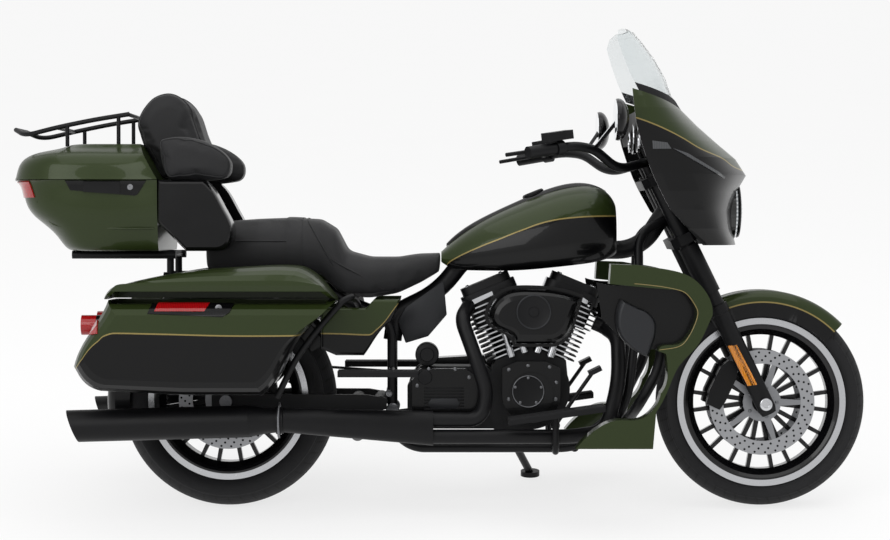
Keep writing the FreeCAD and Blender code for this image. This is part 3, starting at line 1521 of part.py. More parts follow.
def make_saddlebags():
    body = new_body("saddlebags")
    corner = (D.bag_rear, D.bag_bottom)
    span = (D.bag_length, D.bag_height)
    features = [domed(body, "XZ_Plane", BAG_SHARES, corner, span, bag_steps(0, -1))]
    features.append(domed(body, "XZ_Plane", BAG_SHARES, corner, span, bag_steps(D.bag_wall, -1),
        "Subtractive"))
    top = D.bag_bottom + D.bag_height
    mouth = [
        vec(D.bag_rear + D.bag_length * 0.13 + D.bag_wall * 2, top + D.overrun),
        vec(D.bag_rear + D.bag_length - D.bag_wall * 3, top + D.overrun),
        vec(D.bag_rear + D.bag_length - D.bag_wall * 6, top - D.bag_wall * 2),
        vec(D.bag_rear + D.bag_length * 0.13 + D.bag_wall * 2, top - D.bag_wall * 2),
    ]
    sketch = new_sketch(body, "XZ_Plane", runs_to_edges([[corner] for corner in mouth]),
        "bag_inner + bag_wall")
    features.append(pocket(body, sketch, "bag_outer - bag_inner - bag_wall * 2 - bag_dome * 0.5",
        inward=True))
    mirror(body, features)


def make_bag_lid(label, side):
    body = new_body(label)
    base = D.bag_bottom + D.bag_height + D.lid_gap
    corner = (D.bag_rear + D.bag_length * 0.115, base)
    span = (D.bag_length * 0.885, D.bag_lid_height)
    domed(body, "XZ_Plane", BAG_LID_SHARES, corner, span, bag_steps(0, side))
    wall = D.bag_wall
    inner_corner = (corner[0], base - wall * 3)
    inner_span = (span[0], span[1] + wall)
    domed(body, "XZ_Plane", BAG_LID_SHARES, inner_corner, inner_span, bag_steps(wall, side), "Subtractive")


# Plan of the case from its flat front round the back, as shares of its length and half width
CASE_PLAN_SHARES = [(0.0, 1.0), (0.5, 1.0), (0.78, 0.95), (0.93, 0.75), (0.985, 0.42)]
# Each level: height, rear end and half width
CASE_LEVEL_SHARES = [
    (0.0, 0.6, 0.8), (0.05, 0.66, 0.86), (0.3, 0.76, 0.92), (0.44, 0.84, 0.95), (0.72, 0.93, 0.98),
    (1.0, 1.0, 1.0),
]
LID_LEVEL_SHARES = [
    (0.0, 1.0, 1.0), (0.22, 0.985, 0.99), (0.52, 0.955, 0.965), (0.78, 0.86, 0.87), (0.94, 0.7, 0.72),
    (1.0, 0.5, 0.55),
]


def plan_outline(front, length, half):
    """Closed plan with a flat front and a rounded back."""
    right = [vec(front - length * u, -half * w) for u, w in CASE_PLAN_SHARES]
    left = [vec(point.x, -point.y) for point in reversed(right)]
    return [right + [vec(front - length, 0)] + left]


def make_tour_case():
    body = new_body("tour_case")
    for wall, kind in ((0, "Additive"), (D.case_wall, "Subtractive")):
        sketches = []
        for level, far, wide in CASE_LEVEL_SHARES:
            height = D.case_bottom + wall + (D.case_height - wall + (D.overrun if wall else 0)) * level
            length = (D.case_length - wall * 2) * far
            runs = plan_outline(D.case_front - wall, length, D.case_half_width * wide - wall)
            sketches.append(new_sketch(body, "XY_Plane", runs_to_edges(runs), height))
        loft(body, sketches, kind)


def make_tour_lid():
    """Domed lid whose front slopes back, with the load space going on inside it."""
    body = new_body("tour_lid")
    base = D.case_bottom + D.case_height + D.lid_gap
    for wall, kind in ((0, "Additive"), (D.case_wall, "Subtractive")):
        sketches = []
        for level, far, wide in LID_LEVEL_SHARES:
            height = base + (D.tour_lid_height - wall) * level - (D.overrun * (1 - level) if wall else 0)
            back = D.lid_slope * (height - base) / D.tour_lid_height
            length = (D.case_length - wall * 2) * far - back
            runs = plan_outline(D.case_front - wall - back, length, D.case_half_width * wide - wall)
            sketches.append(new_sketch(body, "XY_Plane", runs_to_edges(runs), height))
        loft(body, sketches, kind)
    return body


make_saddlebags()
make_bag_lid("bag_lid_right", -1)
make_bag_lid("bag_lid_left", 1)
make_tour_case()
tour_lid = make_tour_lid()


# Fairing, dash and windshield, which turn with the fork

# Part of the slanting line's length that the screen's foot reaches past it
BROW_REACH_SHARE = 0.2


def band_outline(front, rear, half, wall, shares):
    """Closed horizontal outline of a curved sheet that is open to the rear."""
    outer = [vec(rear + (front - rear) * u, -half * w) for u, w in shares]
    outer = outer + [vec(front, 0)] + [vec(p.x, -p.y) for p in reversed(outer)]
    deep = front - wall * 1.15
    inner = [vec(rear + (deep - rear) * u, -(half - wall) * w) for u, w in shares]
    inner = inner + [vec(deep, 0)] + [vec(p.x, -p.y) for p in reversed(inner)]
    inner.reverse()
    return [outer, [inner[0]], inner[1:]]


def make_fairing():
    """Outer shell of the fork-mounted fairing, wrapped round from wing to wing."""
    body = new_body("fairing")
    sketches = []
    for height, front, rear, half in FAIRING_LEVELS:
        outline = band_outline(front, rear, half, D.fairing_wall, FAIRING_PLAN_SHARES)
        sketches.append(new_sketch(body, "XY_Plane", runs_to_edges(outline), height))
    loft(body, sketches, ruled=True)
    rear_end, front_end = BROW
    above = vec(0, D.fairing_height)
    edge = [rear_end, front_end, front_end + above, rear_end + above]
    sketch = new_sketch(body, "XZ_Plane", runs_to_edges([[corner] for corner in edge]))
    pocket(body, sketch, "fairing_half * 3", symmetric=True)
    opening = new_sketch(
        body, "YZ_Plane", [circle(0, D.lamp_height, D.lamp_radius + D.seat_gap)],
        "lamp_forward - lamp_radius",
    )
    pocket(body, opening, "lamp_radius * 3", inward=True)


def make_windshield():
    """Clear screen that stands on the fairing's brow."""
    body = new_body("windshield")
    sketches = []
    for height, front, rear, half in WINDSHIELD_LEVELS:
        outline = band_outline(front, rear, half, D.windshield_wall, FAIRING_PLAN_SHARES)
        sketches.append(new_sketch(body, "XY_Plane", runs_to_edges(outline), height))
    loft(body, sketches, ruled=True)
    lift = vec(0, D.seat_gap * 2)
    below = vec(0, -D.fairing_height)
    rear_end = BROW[0]
    front_end = BROW[1] + (BROW[1] - rear_end) * BROW_REACH_SHARE
    edge = [rear_end + lift, front_end + lift, front_end + below, rear_end + below]
    sketch = new_sketch(body, "XZ_Plane", runs_to_edges([[corner] for corner in edge]))
    pocket(body, sketch, "fairing_half * 3", symmetric=True)


def make_dash():
    """Inner panel that closes the fairing toward the rider, with its hood over the dials."""
    body = new_body("dash_panel")
    sketches = []
    along, width = FAIRING_PLAN_SHARES[1]
    for height, front, rear, half in DASH_LEVELS:
        wide = half - D.fairing_wall - D.seat_gap
        near = rear + D.part_gap
        deep = near + D.dash_depth
        narrow = wide - half * (1 - width) / along * (deep - rear) / (front - rear)
        runs = [
            [vec(near, -wide), vec(near + D.dash_depth, 0), vec(near, wide)], [vec(deep, narrow)],
            [vec(deep + D.dash_depth, 0), vec(deep, -narrow)],
        ]
        sketches.append(new_sketch(body, "XY_Plane", runs_to_edges(runs), height))
    loft(body, sketches, ruled=True)


def turned_profile(start, along, profile):
    """Round piece from pairs of a place along its axis and a radius there."""
    pieces = []
    for (near, first), (far, second) in zip(profile, profile[1:]):
        if first == second:
            pieces.append(Part.makeCylinder(first, far - near, start + along * near, along))
        else:
            pieces.append(Part.makeCone(first, second, far - near, start + along * near, along))
    return merged(pieces)


# Lamp's profile: place along its axis and radius, as shares of the radius
HEADLAMP_SHARES = [(0.0, 0.6), (0.25, 1.0), (0.75, 1.0), (0.9, 0.86), (1.0, 0.5)]


def make_front_lamps():
    """Headlamp in the fairing's nose."""
    profile = [(along * D.lamp_radius, wide * D.lamp_radius) for along, wide in HEADLAMP_SHARES]
    return solid_part("front_lamps",
        turned_profile(vec(D.lamp_forward, 0, D.lamp_height), vec(1, 0, 0), profile))


# Right half of the bar from the clamp out to the grip's end: forward, out and up
BAR_SHARES = [(1.0, 0.0, 0.384), (0.745, 0.312, 0.0), (0.537, 0.568, 0.882), (0.373, 0.744, 1.0),
    (0.0, 1.0, 0.676)]


def bar_route(side):
    corner = (D.bar_rear, side * D.bar_inner, D.bar_low)
    return spread(BAR_SHARES, corner, (D.bar_reach, side * D.bar_spread, D.bar_rise))


def make_handlebar():
    """Bar from grip to grip, on two risers above the upper yoke."""
    bar = tube(list(reversed(bar_route(-1))) + bar_route(1), D.bar_radius, 0.42)
    shapes = [bar]
    for side in (-1, 1):
        foot = FORK_PLACE.multVec(vec(0, side * D.riser_out, D.upper_yoke + D.yoke_thickness + D.seat_gap))
        shapes.append(rod(foot, foot + STEERING_AXIS * D.riser_length, D.bar_radius * 1.3))
    return solid_part("handlebar", merged(shapes))


def make_controls():
    """Grips, switch housings, brake and clutch reservoirs and their levers."""
    corner, tip = bar_route(-1)[-2:]
    along = (tip - corner).normalize()
    ahead = vec(along.y, -along.x, 0).normalize()
    inner = tip - along * D.grip_length
    middle = inner - along * (D.house_length / 2)
    hole = rod(inner - along * D.house_length * 2, tip + along * D.part_gap, D.bar_radius + D.seat_gap)
    grip = rod(inner, tip + along * D.part_gap * 2, D.grip_radius)
    house = rod(inner - along * D.house_length, inner - along * D.seat_gap, D.grip_radius * 1.25)
    pivot = middle + ahead * D.lever_reach
    house_radius = D.grip_radius * 1.25
    lever = rod(pivot - along * D.lever_radius * 2, pivot + along * D.lever_length, D.lever_radius)
    arm = rod(
        middle + ahead * (house_radius + D.seat_gap), pivot - ahead * (D.lever_radius + D.seat_gap),
        D.lever_radius * 1.5,
    )
    above = along.cross(ahead) * -1
    tank = block(
        (-D.reservoir_length / 2, D.reservoir_length / 2), (-D.reservoir_width / 2, D.reservoir_width / 2),
        (0, D.reservoir_height),
    )
    facing = FreeCAD.Rotation(along, ahead, above, "ZXY")
    tank.Placement = FreeCAD.Placement(middle + above * (house_radius + D.seat_gap), facing)
    right = [grip.cut(hole), house.cut(hole), arm, lever, tank]
    left = [piece.mirror(vec(0, 0, 0), vec(0, 1, 0)) for piece in right]
    return solid_part("hand_controls", Part.makeCompound(right + left))


def make_mirrors():
    shapes = []
    for side in (-1, 1):
        middle = vec(D.mirror_forward, side * D.mirror_out, D.mirror_height)
        head = Part.makeSphere(1)
        matrix = FreeCAD.Matrix()
        matrix.scale(D.mirror_depth / 2, D.mirror_width / 2, D.mirror_tall / 2)
        head = head.transformGeometry(matrix)
        head.translate(middle)
        cutter = block(
            (D.mirror_forward - D.mirror_depth, D.mirror_forward - D.mirror_depth * 0.12),
            (-D.mirror_out - D.mirror_width, D.mirror_out + D.mirror_width),
            (D.mirror_height - D.mirror_tall, D.mirror_height + D.mirror_tall),
        )
        route = bar_route(side)
        stem = rod(route[-3], middle, D.lever_radius).cut(tube(route, D.bar_radius + D.seat_gap, 0.42))
        shapes.append(merged([head.cut(cutter), max(stem.Solids, key=lambda piece: piece.Volume)]))
    return solid_part("mirrors", Part.makeCompound(shapes))


make_fairing()
make_windshield()
make_dash()
make_front_lamps()
make_handlebar()
make_controls()
make_mirrors()


# Guards, lower fairings, side covers and foot parts on the frame

# Routes from the frame and back to it: forward, out and up
ENGINE_GUARD_SHARES = [(0.312, 0.0, 1.0), (0.896, 1.0, 0.977), (1.0, 1.0, 0.543), (0.333, 1.0, 0.211),
    (0.0, 0.105, 0.0)]
BAG_GUARD_SHARES = [
    (1.0, 0.0, 0.824), (0.991, 0.175, 0.912), (0.957, 0.408, 0.973), (0.936, 0.921, 1.0), (0.838, 1.0, 0.973),
    (0.532, 1.0, 0.703), (0.243, 0.978, 0.399), (0.0, 0.934, 0.0),
]
C_BAND_SHARES = [
    [(0.255, 1.0), (0.47, 0.994)], [(0.69, 0.968), (0.84, 0.93), (0.93, 0.87), (0.99, 0.79), (1.0, 0.724)],
    [(0.95, 0.642), (0.89, 0.56), (0.76, 0.454), (0.68, 0.33), (0.588, 0.2)], [(0.565, 0.0)], [(0.0, 0.0)],
    [(0.103, 0.08), (0.31, 0.156), (0.47, 0.161), (0.535, 0.19), (0.62, 0.3)],
    [(0.655, 0.34), (0.67, 0.45), (0.66, 0.515)],
    [(0.60, 0.53)], [(0.61, 0.546), (0.735, 0.565), (0.84, 0.63), (0.885, 0.74), (0.84, 0.822),
        (0.735, 0.86)],
    [(0.54, 0.872), (0.245, 0.893)],
]
BOWL_SHARES = [
    [(0.16, 0.9), (0.54, 0.884), (0.735, 0.872), (0.86, 0.83), (0.9, 0.74), (0.85, 0.62), (0.735, 0.54)],
    [(0.52, 0.53)], [(0.33, 0.6)], [(0.2, 0.7)],
]
POD_BOX_SHARES = (0.312, 0.494, 0.281, 0.315)
POD_SHARES = [
    [(0.09, 1.0), (0.57, 0.84)], [(0.82, 0.76), (0.98, 0.62), (1.0, 0.42), (0.79, 0.0)],
    [(0.47, 0.1), (0.14, 0.29)], [(0.0, 0.45), (0.0, 0.86), (0.09, 1.0)],
]
SIDE_COVER_SHARES = [
    [(0.0, 0.85), (0.58, 0.85)], [(0.68, 1.0)], [(1.0, 1.0)], [(0.97, 0.84), (0.9, 0.62)],
    [(0.72, 0.36), (0.6, 0.1), (0.55, 0.0)],
    [(0.2, 0.0)], [(0.0, 0.12)],
]


def make_guards():
    """Bent bars round the engine's front and over the bags' front corners, on each side."""
    panel_face = D.lower_inner - D.panel_wall - D.seat_gap * 2
    guard_spread = panel_face - D.guard_radius - D.guard_inner
    for label, shares, radius, corner, span in (
        (
            "engine_guard", ENGINE_GUARD_SHARES, D.guard_radius, (D.guard_rear, D.guard_inner, D.guard_low),
            (D.guard_length, guard_spread, D.guard_rise),
        ),
        (
            "bag_guards", BAG_GUARD_SHARES, D.bag_guard_radius,
            (D.bag_guard_rear, D.bag_guard_inner, D.bag_guard_low),
            (D.bag_guard_length, D.bag_guard_spread, D.bag_guard_rise),
        ),
    ):
        left = beside_rails(tube(spread(shares, corner, span), radius), 1)
        whole = max(left.Solids, key=lambda piece: piece.Volume)
        solid_part(label, Part.makeCompound([whole, whole.mirror(vec(0, 0, 0), vec(0, 1, 0))]))


def make_lowers():
    corner = (D.lower_rear, D.lower_bottom)
    span = (D.lower_length, D.lower_height)
    band = new_body("fairing_lowers")
    outline = runs_to_edges(placed(C_BAND_SHARES, corner, span))
    first = pad(band, new_sketch(band, "XZ_Plane", outline, "lower_inner"), "lower_outer - lower_inner")
    mirror(band, [first])
    bowl = new_body("lower_panels")
    outline = runs_to_edges(placed(BOWL_SHARES, corner, span))
    first = pad(bowl, new_sketch(bowl, "XZ_Plane", outline, "lower_inner - panel_wall - seat_gap"),
        "panel_wall")
    mirror(bowl, [first])
    pods = new_body("lower_pods")
    along, up, length, height = POD_BOX_SHARES
    pod_corner = (corner[0] + span[0] * along, corner[1] + span[1] * up)
    pod_span = (span[0] * length, span[1] * height)
    steps = rounded_steps(D.lower_inner, D.lower_inner + D.pod_depth, D.pod_depth * 0.4, D.part_gap * 4)
    first = domed(pods, "XZ_Plane", POD_SHARES, pod_corner, pod_span, steps)
    mirror(pods, [first])


def make_side_covers():
    body = new_body("side_covers")
    corner = (D.cover_rear, D.cover_bottom)
    span = (D.cover_length, D.cover_height)
    outer = D.bag_inner - D.seat_gap
    steps = rounded_steps(D.cover_inner, outer, (outer - D.cover_inner) * 0.5, D.part_gap * 3)
    first = domed(body, "XZ_Plane", SIDE_COVER_SHARES, corner, span, steps)
    mirror(body, [first])


def make_footboards():
    """Rider boards that rise to the front and passenger boards, each on a bracket from the frame."""
    thick = D.board_thickness
    bar = thick * 0.7
    rider_low = (D.board_low + D.board_high) / 2 - thick / 2
    rider_along = (D.board_rear + D.board_front) / 2
    rail = rail_route(-1)
    rider_out = -D.board_inner - thick * 2
    bracket = tube(
        [
            vec(rider_along, rail[3].y, rail[3].z), vec(rider_along, rider_out, rail[3].z),
            vec(rider_along, rider_out, rider_low),
        ],
        bar, 0.2,
    )
    post = rail[5]
    pillion_low = D.pillion_height - thick / 4
    arm = rod(vec(post.x, post.y, pillion_low), vec(post.x, -D.pillion_inner - thick, pillion_low), bar)
    boards = (
        (D.board_rear, D.board_front, D.board_low, D.board_high, D.board_inner, D.board_outer, bracket),
        (
            D.pillion_rear, D.pillion_front, D.pillion_height, D.pillion_height, D.pillion_inner,
            D.pillion_outer, arm,
        ),
    )
    shapes = []
    for rear, front, low, high, near, far, holder in boards:
        outline = [vec(rear, low - thick), vec(front, high - thick), vec(front, high), vec(rear, low)]
        board = plate([[corner] for corner in outline], near, far - near)
        held = beside_rails(holder, -1)
        piece = merged([board, max(held.Solids, key=lambda solid: solid.Volume)])
        shapes += [piece, piece.mirror(vec(0, 0, 0), vec(0, 1, 0))]
    return solid_part("footboards", Part.makeCompound(shapes))


PEDAL_SHARES = [(0.0, 0.0), (0.0, 0.29), (0.49, 0.64), (1.0, 1.0)]


def make_foot_controls():
    """Brake pedal on the right and gear lever on the left, each standing on a footboard's bracket."""
    foot = vec((D.board_rear + D.board_front) / 2, -D.pedal_out,
        D.rail_bottom + D.board_thickness * 0.7 + D.seat_gap)
    arm = [foot + vec(D.pedal_length * along, 0, D.pedal_rise * up) for along, up in PEDAL_SHARES]
    pivot = arm[1]
    tread = block(
        (-D.pedal_width / 2, D.pedal_width / 2), (-D.pedal_reach, D.lever_radius),
        (-D.board_thickness / 2, D.board_thickness / 2),
    )
    tread.Placement = FreeCAD.Placement(arm[-1], turned("y", -D.rake_angle))
    pieces = [
        tube(arm, D.lever_radius, 0.3), tread,
        rod(pivot - vec(0, D.lever_radius, 0), pivot + vec(0, D.lever_radius, 0), D.bar_radius),
    ]
    right = merged(pieces)
    return solid_part("foot_controls", Part.makeCompound([right, right.mirror(vec(0, 0, 0), vec(0, 1, 0))]))


make_guards()
make_lowers()
make_side_covers()
make_footboards()
make_foot_controls()


# Passenger comfort, luggage rack and rear lamps

# Side view of the back pad: its rear lies along the sloping front of the case's lid
PAD_SHARES = [
    [(0.389, 0.0), (0.111, 0.4)], [(0.07, 0.5), (0.01, 0.64)],
    [(0.03, 0.72), (0.12, 0.84), (0.24, 0.94), (0.36, 0.985), (0.457, 1.0)],
    [(0.59, 0.97), (0.7, 0.9), (0.78, 0.81), (0.9, 0.56), (1.0, 0.37)], [(0.97, 0.12)], [(0.9, 0.0)],
]
ARM_SHARES = [
    [(0.0, 0.86), (0.0, 1.0)], [(0.2, 1.08), (0.5, 1.02), (0.8, 0.78), (0.98, 0.4), (0.94, 0.08),
        (0.84, 0.0)],
    [(0.12, 0.0)], [(0.06, 0.2)],
]
SPEAKER_SHARES = [
    [(0.0, 0.4), (0.0, 1.0)], [(0.62, 1.0)],
    [(0.74, 0.87), (0.89, 0.59), (1.0, 0.34), (0.97, 0.09), (0.78, 0.0)],
    [(0.38, 0.0)], [(0.0, 0.4)],
]


def make_backrest():
    """Passenger's back pad, fixed to the front of the case's lid."""
    body = new_body("backrest")
    corner = (D.pad_rear, D.case_bottom + D.case_height + D.lid_gap)
    right = rounded_steps(0, D.pad_half, D.pad_edge, D.pad_edge / 3)[1:]
    steps = [(-out, inset) for out, inset in reversed(right)] + right
    domed(body, "XZ_Plane", PAD_SHARES, corner, (D.pad_length, D.pad_height), steps)
    arms = new_body("armrests")
    steps = rounded_steps(D.arm_in, D.arm_in + D.arm_width, D.arm_width * 0.3, D.part_gap * 4)
    arm = domed(arms, "XZ_Plane", ARM_SHARES, (D.arm_rear, D.arm_bottom), (D.arm_length, D.arm_tall), steps)
    mirror(arms, [arm])


def make_speaker_pods():
    """Speaker housings under the armrests, against the front of the case."""
    body = new_body("speaker_pods")
    steps = rounded_steps(D.speaker_in, D.speaker_in + D.speaker_width, D.speaker_width * 0.3, D.part_gap * 4)
    corner = (D.case_front + D.seat_gap, D.case_bottom)
    span = (D.speaker_length, D.arm_bottom - D.seat_gap - D.case_bottom)
    pod = domed(body, "XZ_Plane", SPEAKER_SHARES, corner, span, steps)
    mirror(body, [pod])


# Rack rail: forward, out and up
RACK_SHARES = [(0.0, 0.0, 0.312), (0.11, 0.795, 0.0), (0.384, 1.0, 0.375), (0.712, 1.0, 0.75),
    (1.0, 1.0, 1.0)]
RACK_POST_SHARES = (0.15, 0.85)


def top_of(shape, x, y, around):
    """Highest point of a shape round an upright line."""
    beam = rod(vec(x, y, -D.wheelbase), vec(x, y, D.wheelbase), around)
    return shape.common(beam).optimalBoundingBox(False, False).ZMax


def make_rack(lid):
    """Luggage rack of bent rods on four posts above the case's lid."""
    shapes = []
    thin = D.rack_radius * 0.85
    corner = (D.rack_rear, D.rack_inner, D.rack_low)
    rail = spread(RACK_SHARES, corner, (D.rack_length, D.rack_spread, D.rack_rise))
    rails = tube(rail, D.rack_radius)
    shapes = [rails, rails.mirror(vec(0, 0, 0), vec(0, 1, 0))]
    for share in RACK_POST_SHARES:
        head = rail[2] + (rail[-1] - rail[2]) * share
        foot = top_of(lid.Shape, head.x, head.y, thin) + D.seat_gap
        for side in (-1, 1):
            shapes.append(rod(vec(head.x, side * head.y, foot), vec(head.x, side * head.y, head.z), thin))
    for place in (rail[0], rail[2], rail[-1]):
        here = place + (rail[2] - place) * (D.rack_radius / D.rack_length)
        shapes.append(rod(here, other_side(here), thin))
    return solid_part("luggage_rack", merged(shapes))


def make_rear_lamps():
    """Turn lamps on a bar across the rear fender."""
    height = D.turn_lamp_height
    beside_bag = D.bag_inner - D.seat_gap - D.lever_radius
    right, left = (vec(D.turn_lamp_forward, side * beside_bag, height) for side in (-1, 1))
    shapes = [rod(right, left, D.lever_radius)]
    for end in (right, left):
        shapes.append(rod(end, end + vec(D.turn_lamp_radius * 2, 0, 0), D.lever_radius))
    for side in (-1, 1):
        middle = vec(D.turn_lamp_forward - D.turn_lamp_radius, side * D.turn_lamp_out, height)
        shapes.append(rod(middle, middle + vec(D.turn_lamp_radius * 2, 0, 0), D.turn_lamp_radius))
    return solid_part("rear_lamps", merged(shapes))


def rail_point(forward):
    """Point of the left rear rail's route at a place along the machine."""
    route = rail_route(1)
    for before, after in zip(route, route[1:]):
        if after.x <= forward <= before.x and before.z > D.pivot_height and after.z > D.pivot_height:
            return before + (after - before) * ((forward - before.x) / (after.x - before.x))
    raise ValueError("no rail there")


def make_tour_mount():
    """Tubes that carry the case from the frame's rear rails, and the stays that carry the bags."""
    shapes = []
    top = D.case_bottom - D.seat_gap - D.mount_radius
    rail_end = rail_route(1)[-1]
    for side in (-1, 1):
        out = side * D.mount_out
        rear = vec(D.case_front - D.case_length * 0.6, out, top)
        shapes.append(rod(rear, vec(D.case_front + D.overrun * 2, out, top), D.mount_radius))
        foot = vec(rail_end.x + D.overrun, side * rail_end.y, rail_end.z)
        post = rod(foot, vec(foot.x, foot.y, top), D.mount_radius * 0.9)
        shapes.append(max(beside_rails(post, side).Solids, key=lambda piece: piece.Volume))
    for forward in (rail_end.x + D.overrun, D.case_front - D.overrun * 8):
        shapes.append(rod(vec(forward, -D.mount_out, top), vec(forward, D.mount_out, top),
            D.mount_radius * 0.9))
    stays = []
    face = D.bag_inner - D.seat_gap
    for forward in (D.bag_stay_rear, D.bag_stay_front):
        start = rail_point(forward)
        corner = vec(forward, (start.y + face) / 2, D.bag_bottom + D.bag_height * 0.88)
        stay = tube([start, corner, vec(forward, face, corner.z)], D.mount_radius * 0.7, 0.3)
        held = max(beside_rails(stay, 1).Solids, key=lambda piece: piece.Volume)
        stays += [held, held.mirror(vec(0, 0, 0), vec(0, 1, 0))]
    return solid_part("tour_mount", Part.makeCompound([merged(shapes)] + stays))


make_backrest()
make_speaker_pods()
doc.recompute()
make_rack(tour_lid)
make_rear_lamps()
make_tour_mount()


# Side stand on the left: it folds back about a slanted pivot

STAND_PIVOT = vec(D.stand_forward, D.stand_out, D.stand_height)
STAND_FOOT = vec(D.stand_forward + D.stand_reach_forward, D.stand_out + D.stand_reach_out, 0)
STAND_FOOT.z = STAND_FOOT.y * math.tan(math.radians(D.lean_angle))
STAND_DOWN = (STAND_FOOT - STAND_PIVOT).normalize()
STAND_FOLDED = vec(-1, D.stand_fold_out, D.stand_fold_up).normalize()
STAND_AXIS = STAND_DOWN.cross(STAND_FOLDED).normalize()


def make_side_stand():
    """Leg with a lug at its pivot and a flat foot that lies on the road."""
    lug = rod(STAND_PIVOT - STAND_AXIS * D.stand_lug_half, STAND_PIVOT + STAND_AXIS * D.stand_lug_half,
        D.stand_lug_radius)
    hole = rod(STAND_PIVOT - STAND_AXIS * D.overrun, STAND_PIVOT + STAND_AXIS * D.overrun,
        D.stand_pin_radius + D.running_gap)
    up = vec(0, -math.sin(math.radians(D.lean_angle)), math.cos(math.radians(D.lean_angle)))
    ankle = STAND_FOOT + up * D.stand_foot_thickness
    leg = rod(STAND_PIVOT + STAND_DOWN * D.stand_lug_radius * 0.85, ankle, D.stand_leg_radius)
    foot = Part.makeCylinder(D.stand_foot_radius, D.stand_foot_thickness * 1.6, STAND_FOOT, up)
    below = Part.makeCylinder(D.stand_foot_radius * 3, D.overrun * 3, STAND_FOOT, up * -1)
    return solid_part("side_stand", merged([lug, leg, foot]).cut(below).cut(hole))


def make_stand_bracket():
    """Cheek and pin that carry the stand, on an arm from the frame's left rail."""
    rail = rail_route(1)[3]
    near, far = [
        (STAND_PIVOT + STAND_AXIS * side * (D.stand_lug_half + D.seat_gap), STAND_AXIS * side * D.stand_cheek)
        for side in (-1, 1)
    ]
    shapes = [rod(start, start + along, D.stand_lug_radius * 0.6) for start, along in (near, far)]
    middle = near[0] + near[1]
    shapes.append(rod(middle, vec(middle.x, rail.y, rail.z), D.stand_pin_radius))
    half = D.stand_lug_half + D.seat_gap + D.stand_cheek
    pin = rod(STAND_PIVOT - STAND_AXIS * half, STAND_PIVOT + STAND_AXIS * half, D.stand_pin_radius)
    whole = beside_rails(merged(shapes + [pin]), 1)
    return solid_part("stand_bracket", max(whole.Solids, key=lambda piece: piece.Volume))


make_side_stand()
make_stand_bracket()


# Lean the machine on its stand, and move the origin to the bottom centre of its box

doc.recompute()
broken = [item.Label for item in doc.Objects if "Invalid" in item.State or "Error" in item.State]
if broken:
    raise RuntimeError(f"failed features: {broken}")

lean = FreeCAD.Placement(vec(0, 0, 0), turned("x", -D.lean_angle))
box = FreeCAD.BoundBox()
for item, place in SUBPARTS:
    shape = item.Shape.copy()
    if shape.isNull() or not shape.isValid() or not shape.Solids:
        raise RuntimeError(f"bad shape: {item.Label}")
    shape.Placement = lean.multiply(place).multiply(shape.Placement)
    box.add(shape.optimalBoundingBox(False, False))
shift = vec(-(box.XMin + box.XMax) / 2, -(box.YMin + box.YMax) / 2, -box.ZMin)
PARKED = FreeCAD.Placement(shift, lean.Rotation)
print("origin shift", [round(value, 3) for value in shift])

os.makedirs("parts", exist_ok=True)
for item, place in SUBPARTS:
    item.Placement = PARKED.multiply(place)
    item.Shape.exportStep(os.path.join("parts", f"{item.Label}.step"))
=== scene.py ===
import json
import math

import bmesh
import bpy
from mathutils import Matrix, Vector

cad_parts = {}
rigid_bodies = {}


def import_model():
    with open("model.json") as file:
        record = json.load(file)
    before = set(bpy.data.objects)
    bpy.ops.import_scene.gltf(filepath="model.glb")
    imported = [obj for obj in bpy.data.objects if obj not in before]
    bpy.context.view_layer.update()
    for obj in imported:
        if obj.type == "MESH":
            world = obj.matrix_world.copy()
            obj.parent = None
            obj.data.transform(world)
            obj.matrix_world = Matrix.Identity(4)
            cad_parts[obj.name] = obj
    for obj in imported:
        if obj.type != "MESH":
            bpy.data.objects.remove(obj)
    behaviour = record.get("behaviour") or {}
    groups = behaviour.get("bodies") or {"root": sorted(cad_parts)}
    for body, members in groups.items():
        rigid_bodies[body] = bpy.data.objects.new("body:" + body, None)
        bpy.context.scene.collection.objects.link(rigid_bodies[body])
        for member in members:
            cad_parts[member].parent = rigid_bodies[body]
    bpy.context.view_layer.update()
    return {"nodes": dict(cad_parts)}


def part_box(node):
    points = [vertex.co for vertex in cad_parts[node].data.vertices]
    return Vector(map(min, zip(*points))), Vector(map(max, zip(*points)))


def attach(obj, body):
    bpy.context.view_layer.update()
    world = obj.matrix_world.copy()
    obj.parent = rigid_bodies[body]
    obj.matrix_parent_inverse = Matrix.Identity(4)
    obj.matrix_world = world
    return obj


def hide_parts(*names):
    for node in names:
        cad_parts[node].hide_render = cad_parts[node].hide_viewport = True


# A touring cruiser motorcycle on its side stand: finishes, cushions, lamps and trim round the CAD frame.

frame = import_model()
bpy.context.scene.view_settings.view_transform = "Standard"

# The machine is drawn upright, in metres: x forward from the rear axle, y to its left, z up from the road.
# It then leans on its stand, about the line where the drawing's y and z are zero.

LEAN = math.radians(10)
FRONT_AXLE_FORWARD = 1.625
low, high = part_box("front_tyre")
middle = (low + high) / 2
SHIFT = Vector((middle.x - FRONT_AXLE_FORWARD, middle.y - middle.z * math.tan(LEAN), 0))
TO_FRAME = Matrix.Translation(SHIFT) @ Matrix.Rotation(-LEAN, 4, "X")
TO_DRAWING = TO_FRAME.inverted()
FRONT_AXLE = TO_DRAWING @ middle
low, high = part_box("rear_tyre")
REAR_AXLE = TO_DRAWING @ ((low + high) / 2)

FORWARD = Vector((1, 0, 0))
LEFTWARD = Vector((0, 1, 0))
RIGHTWARD = -LEFTWARD
UPWARD = Vector((0, 0, 1))

# The cylinders stand in a V over the crank, and their fins' box is measured from each cylinder's own axis.

CRANK = Vector((0.92, 0, 0.35))
V_ANGLE = math.radians(22.5)
FIN_HALF_LENGTH = 0.088
FIN_HALF_WIDTH = 0.08
FIN_EDGE_SHARE = 0.985
BARREL_FOOT = 0.135


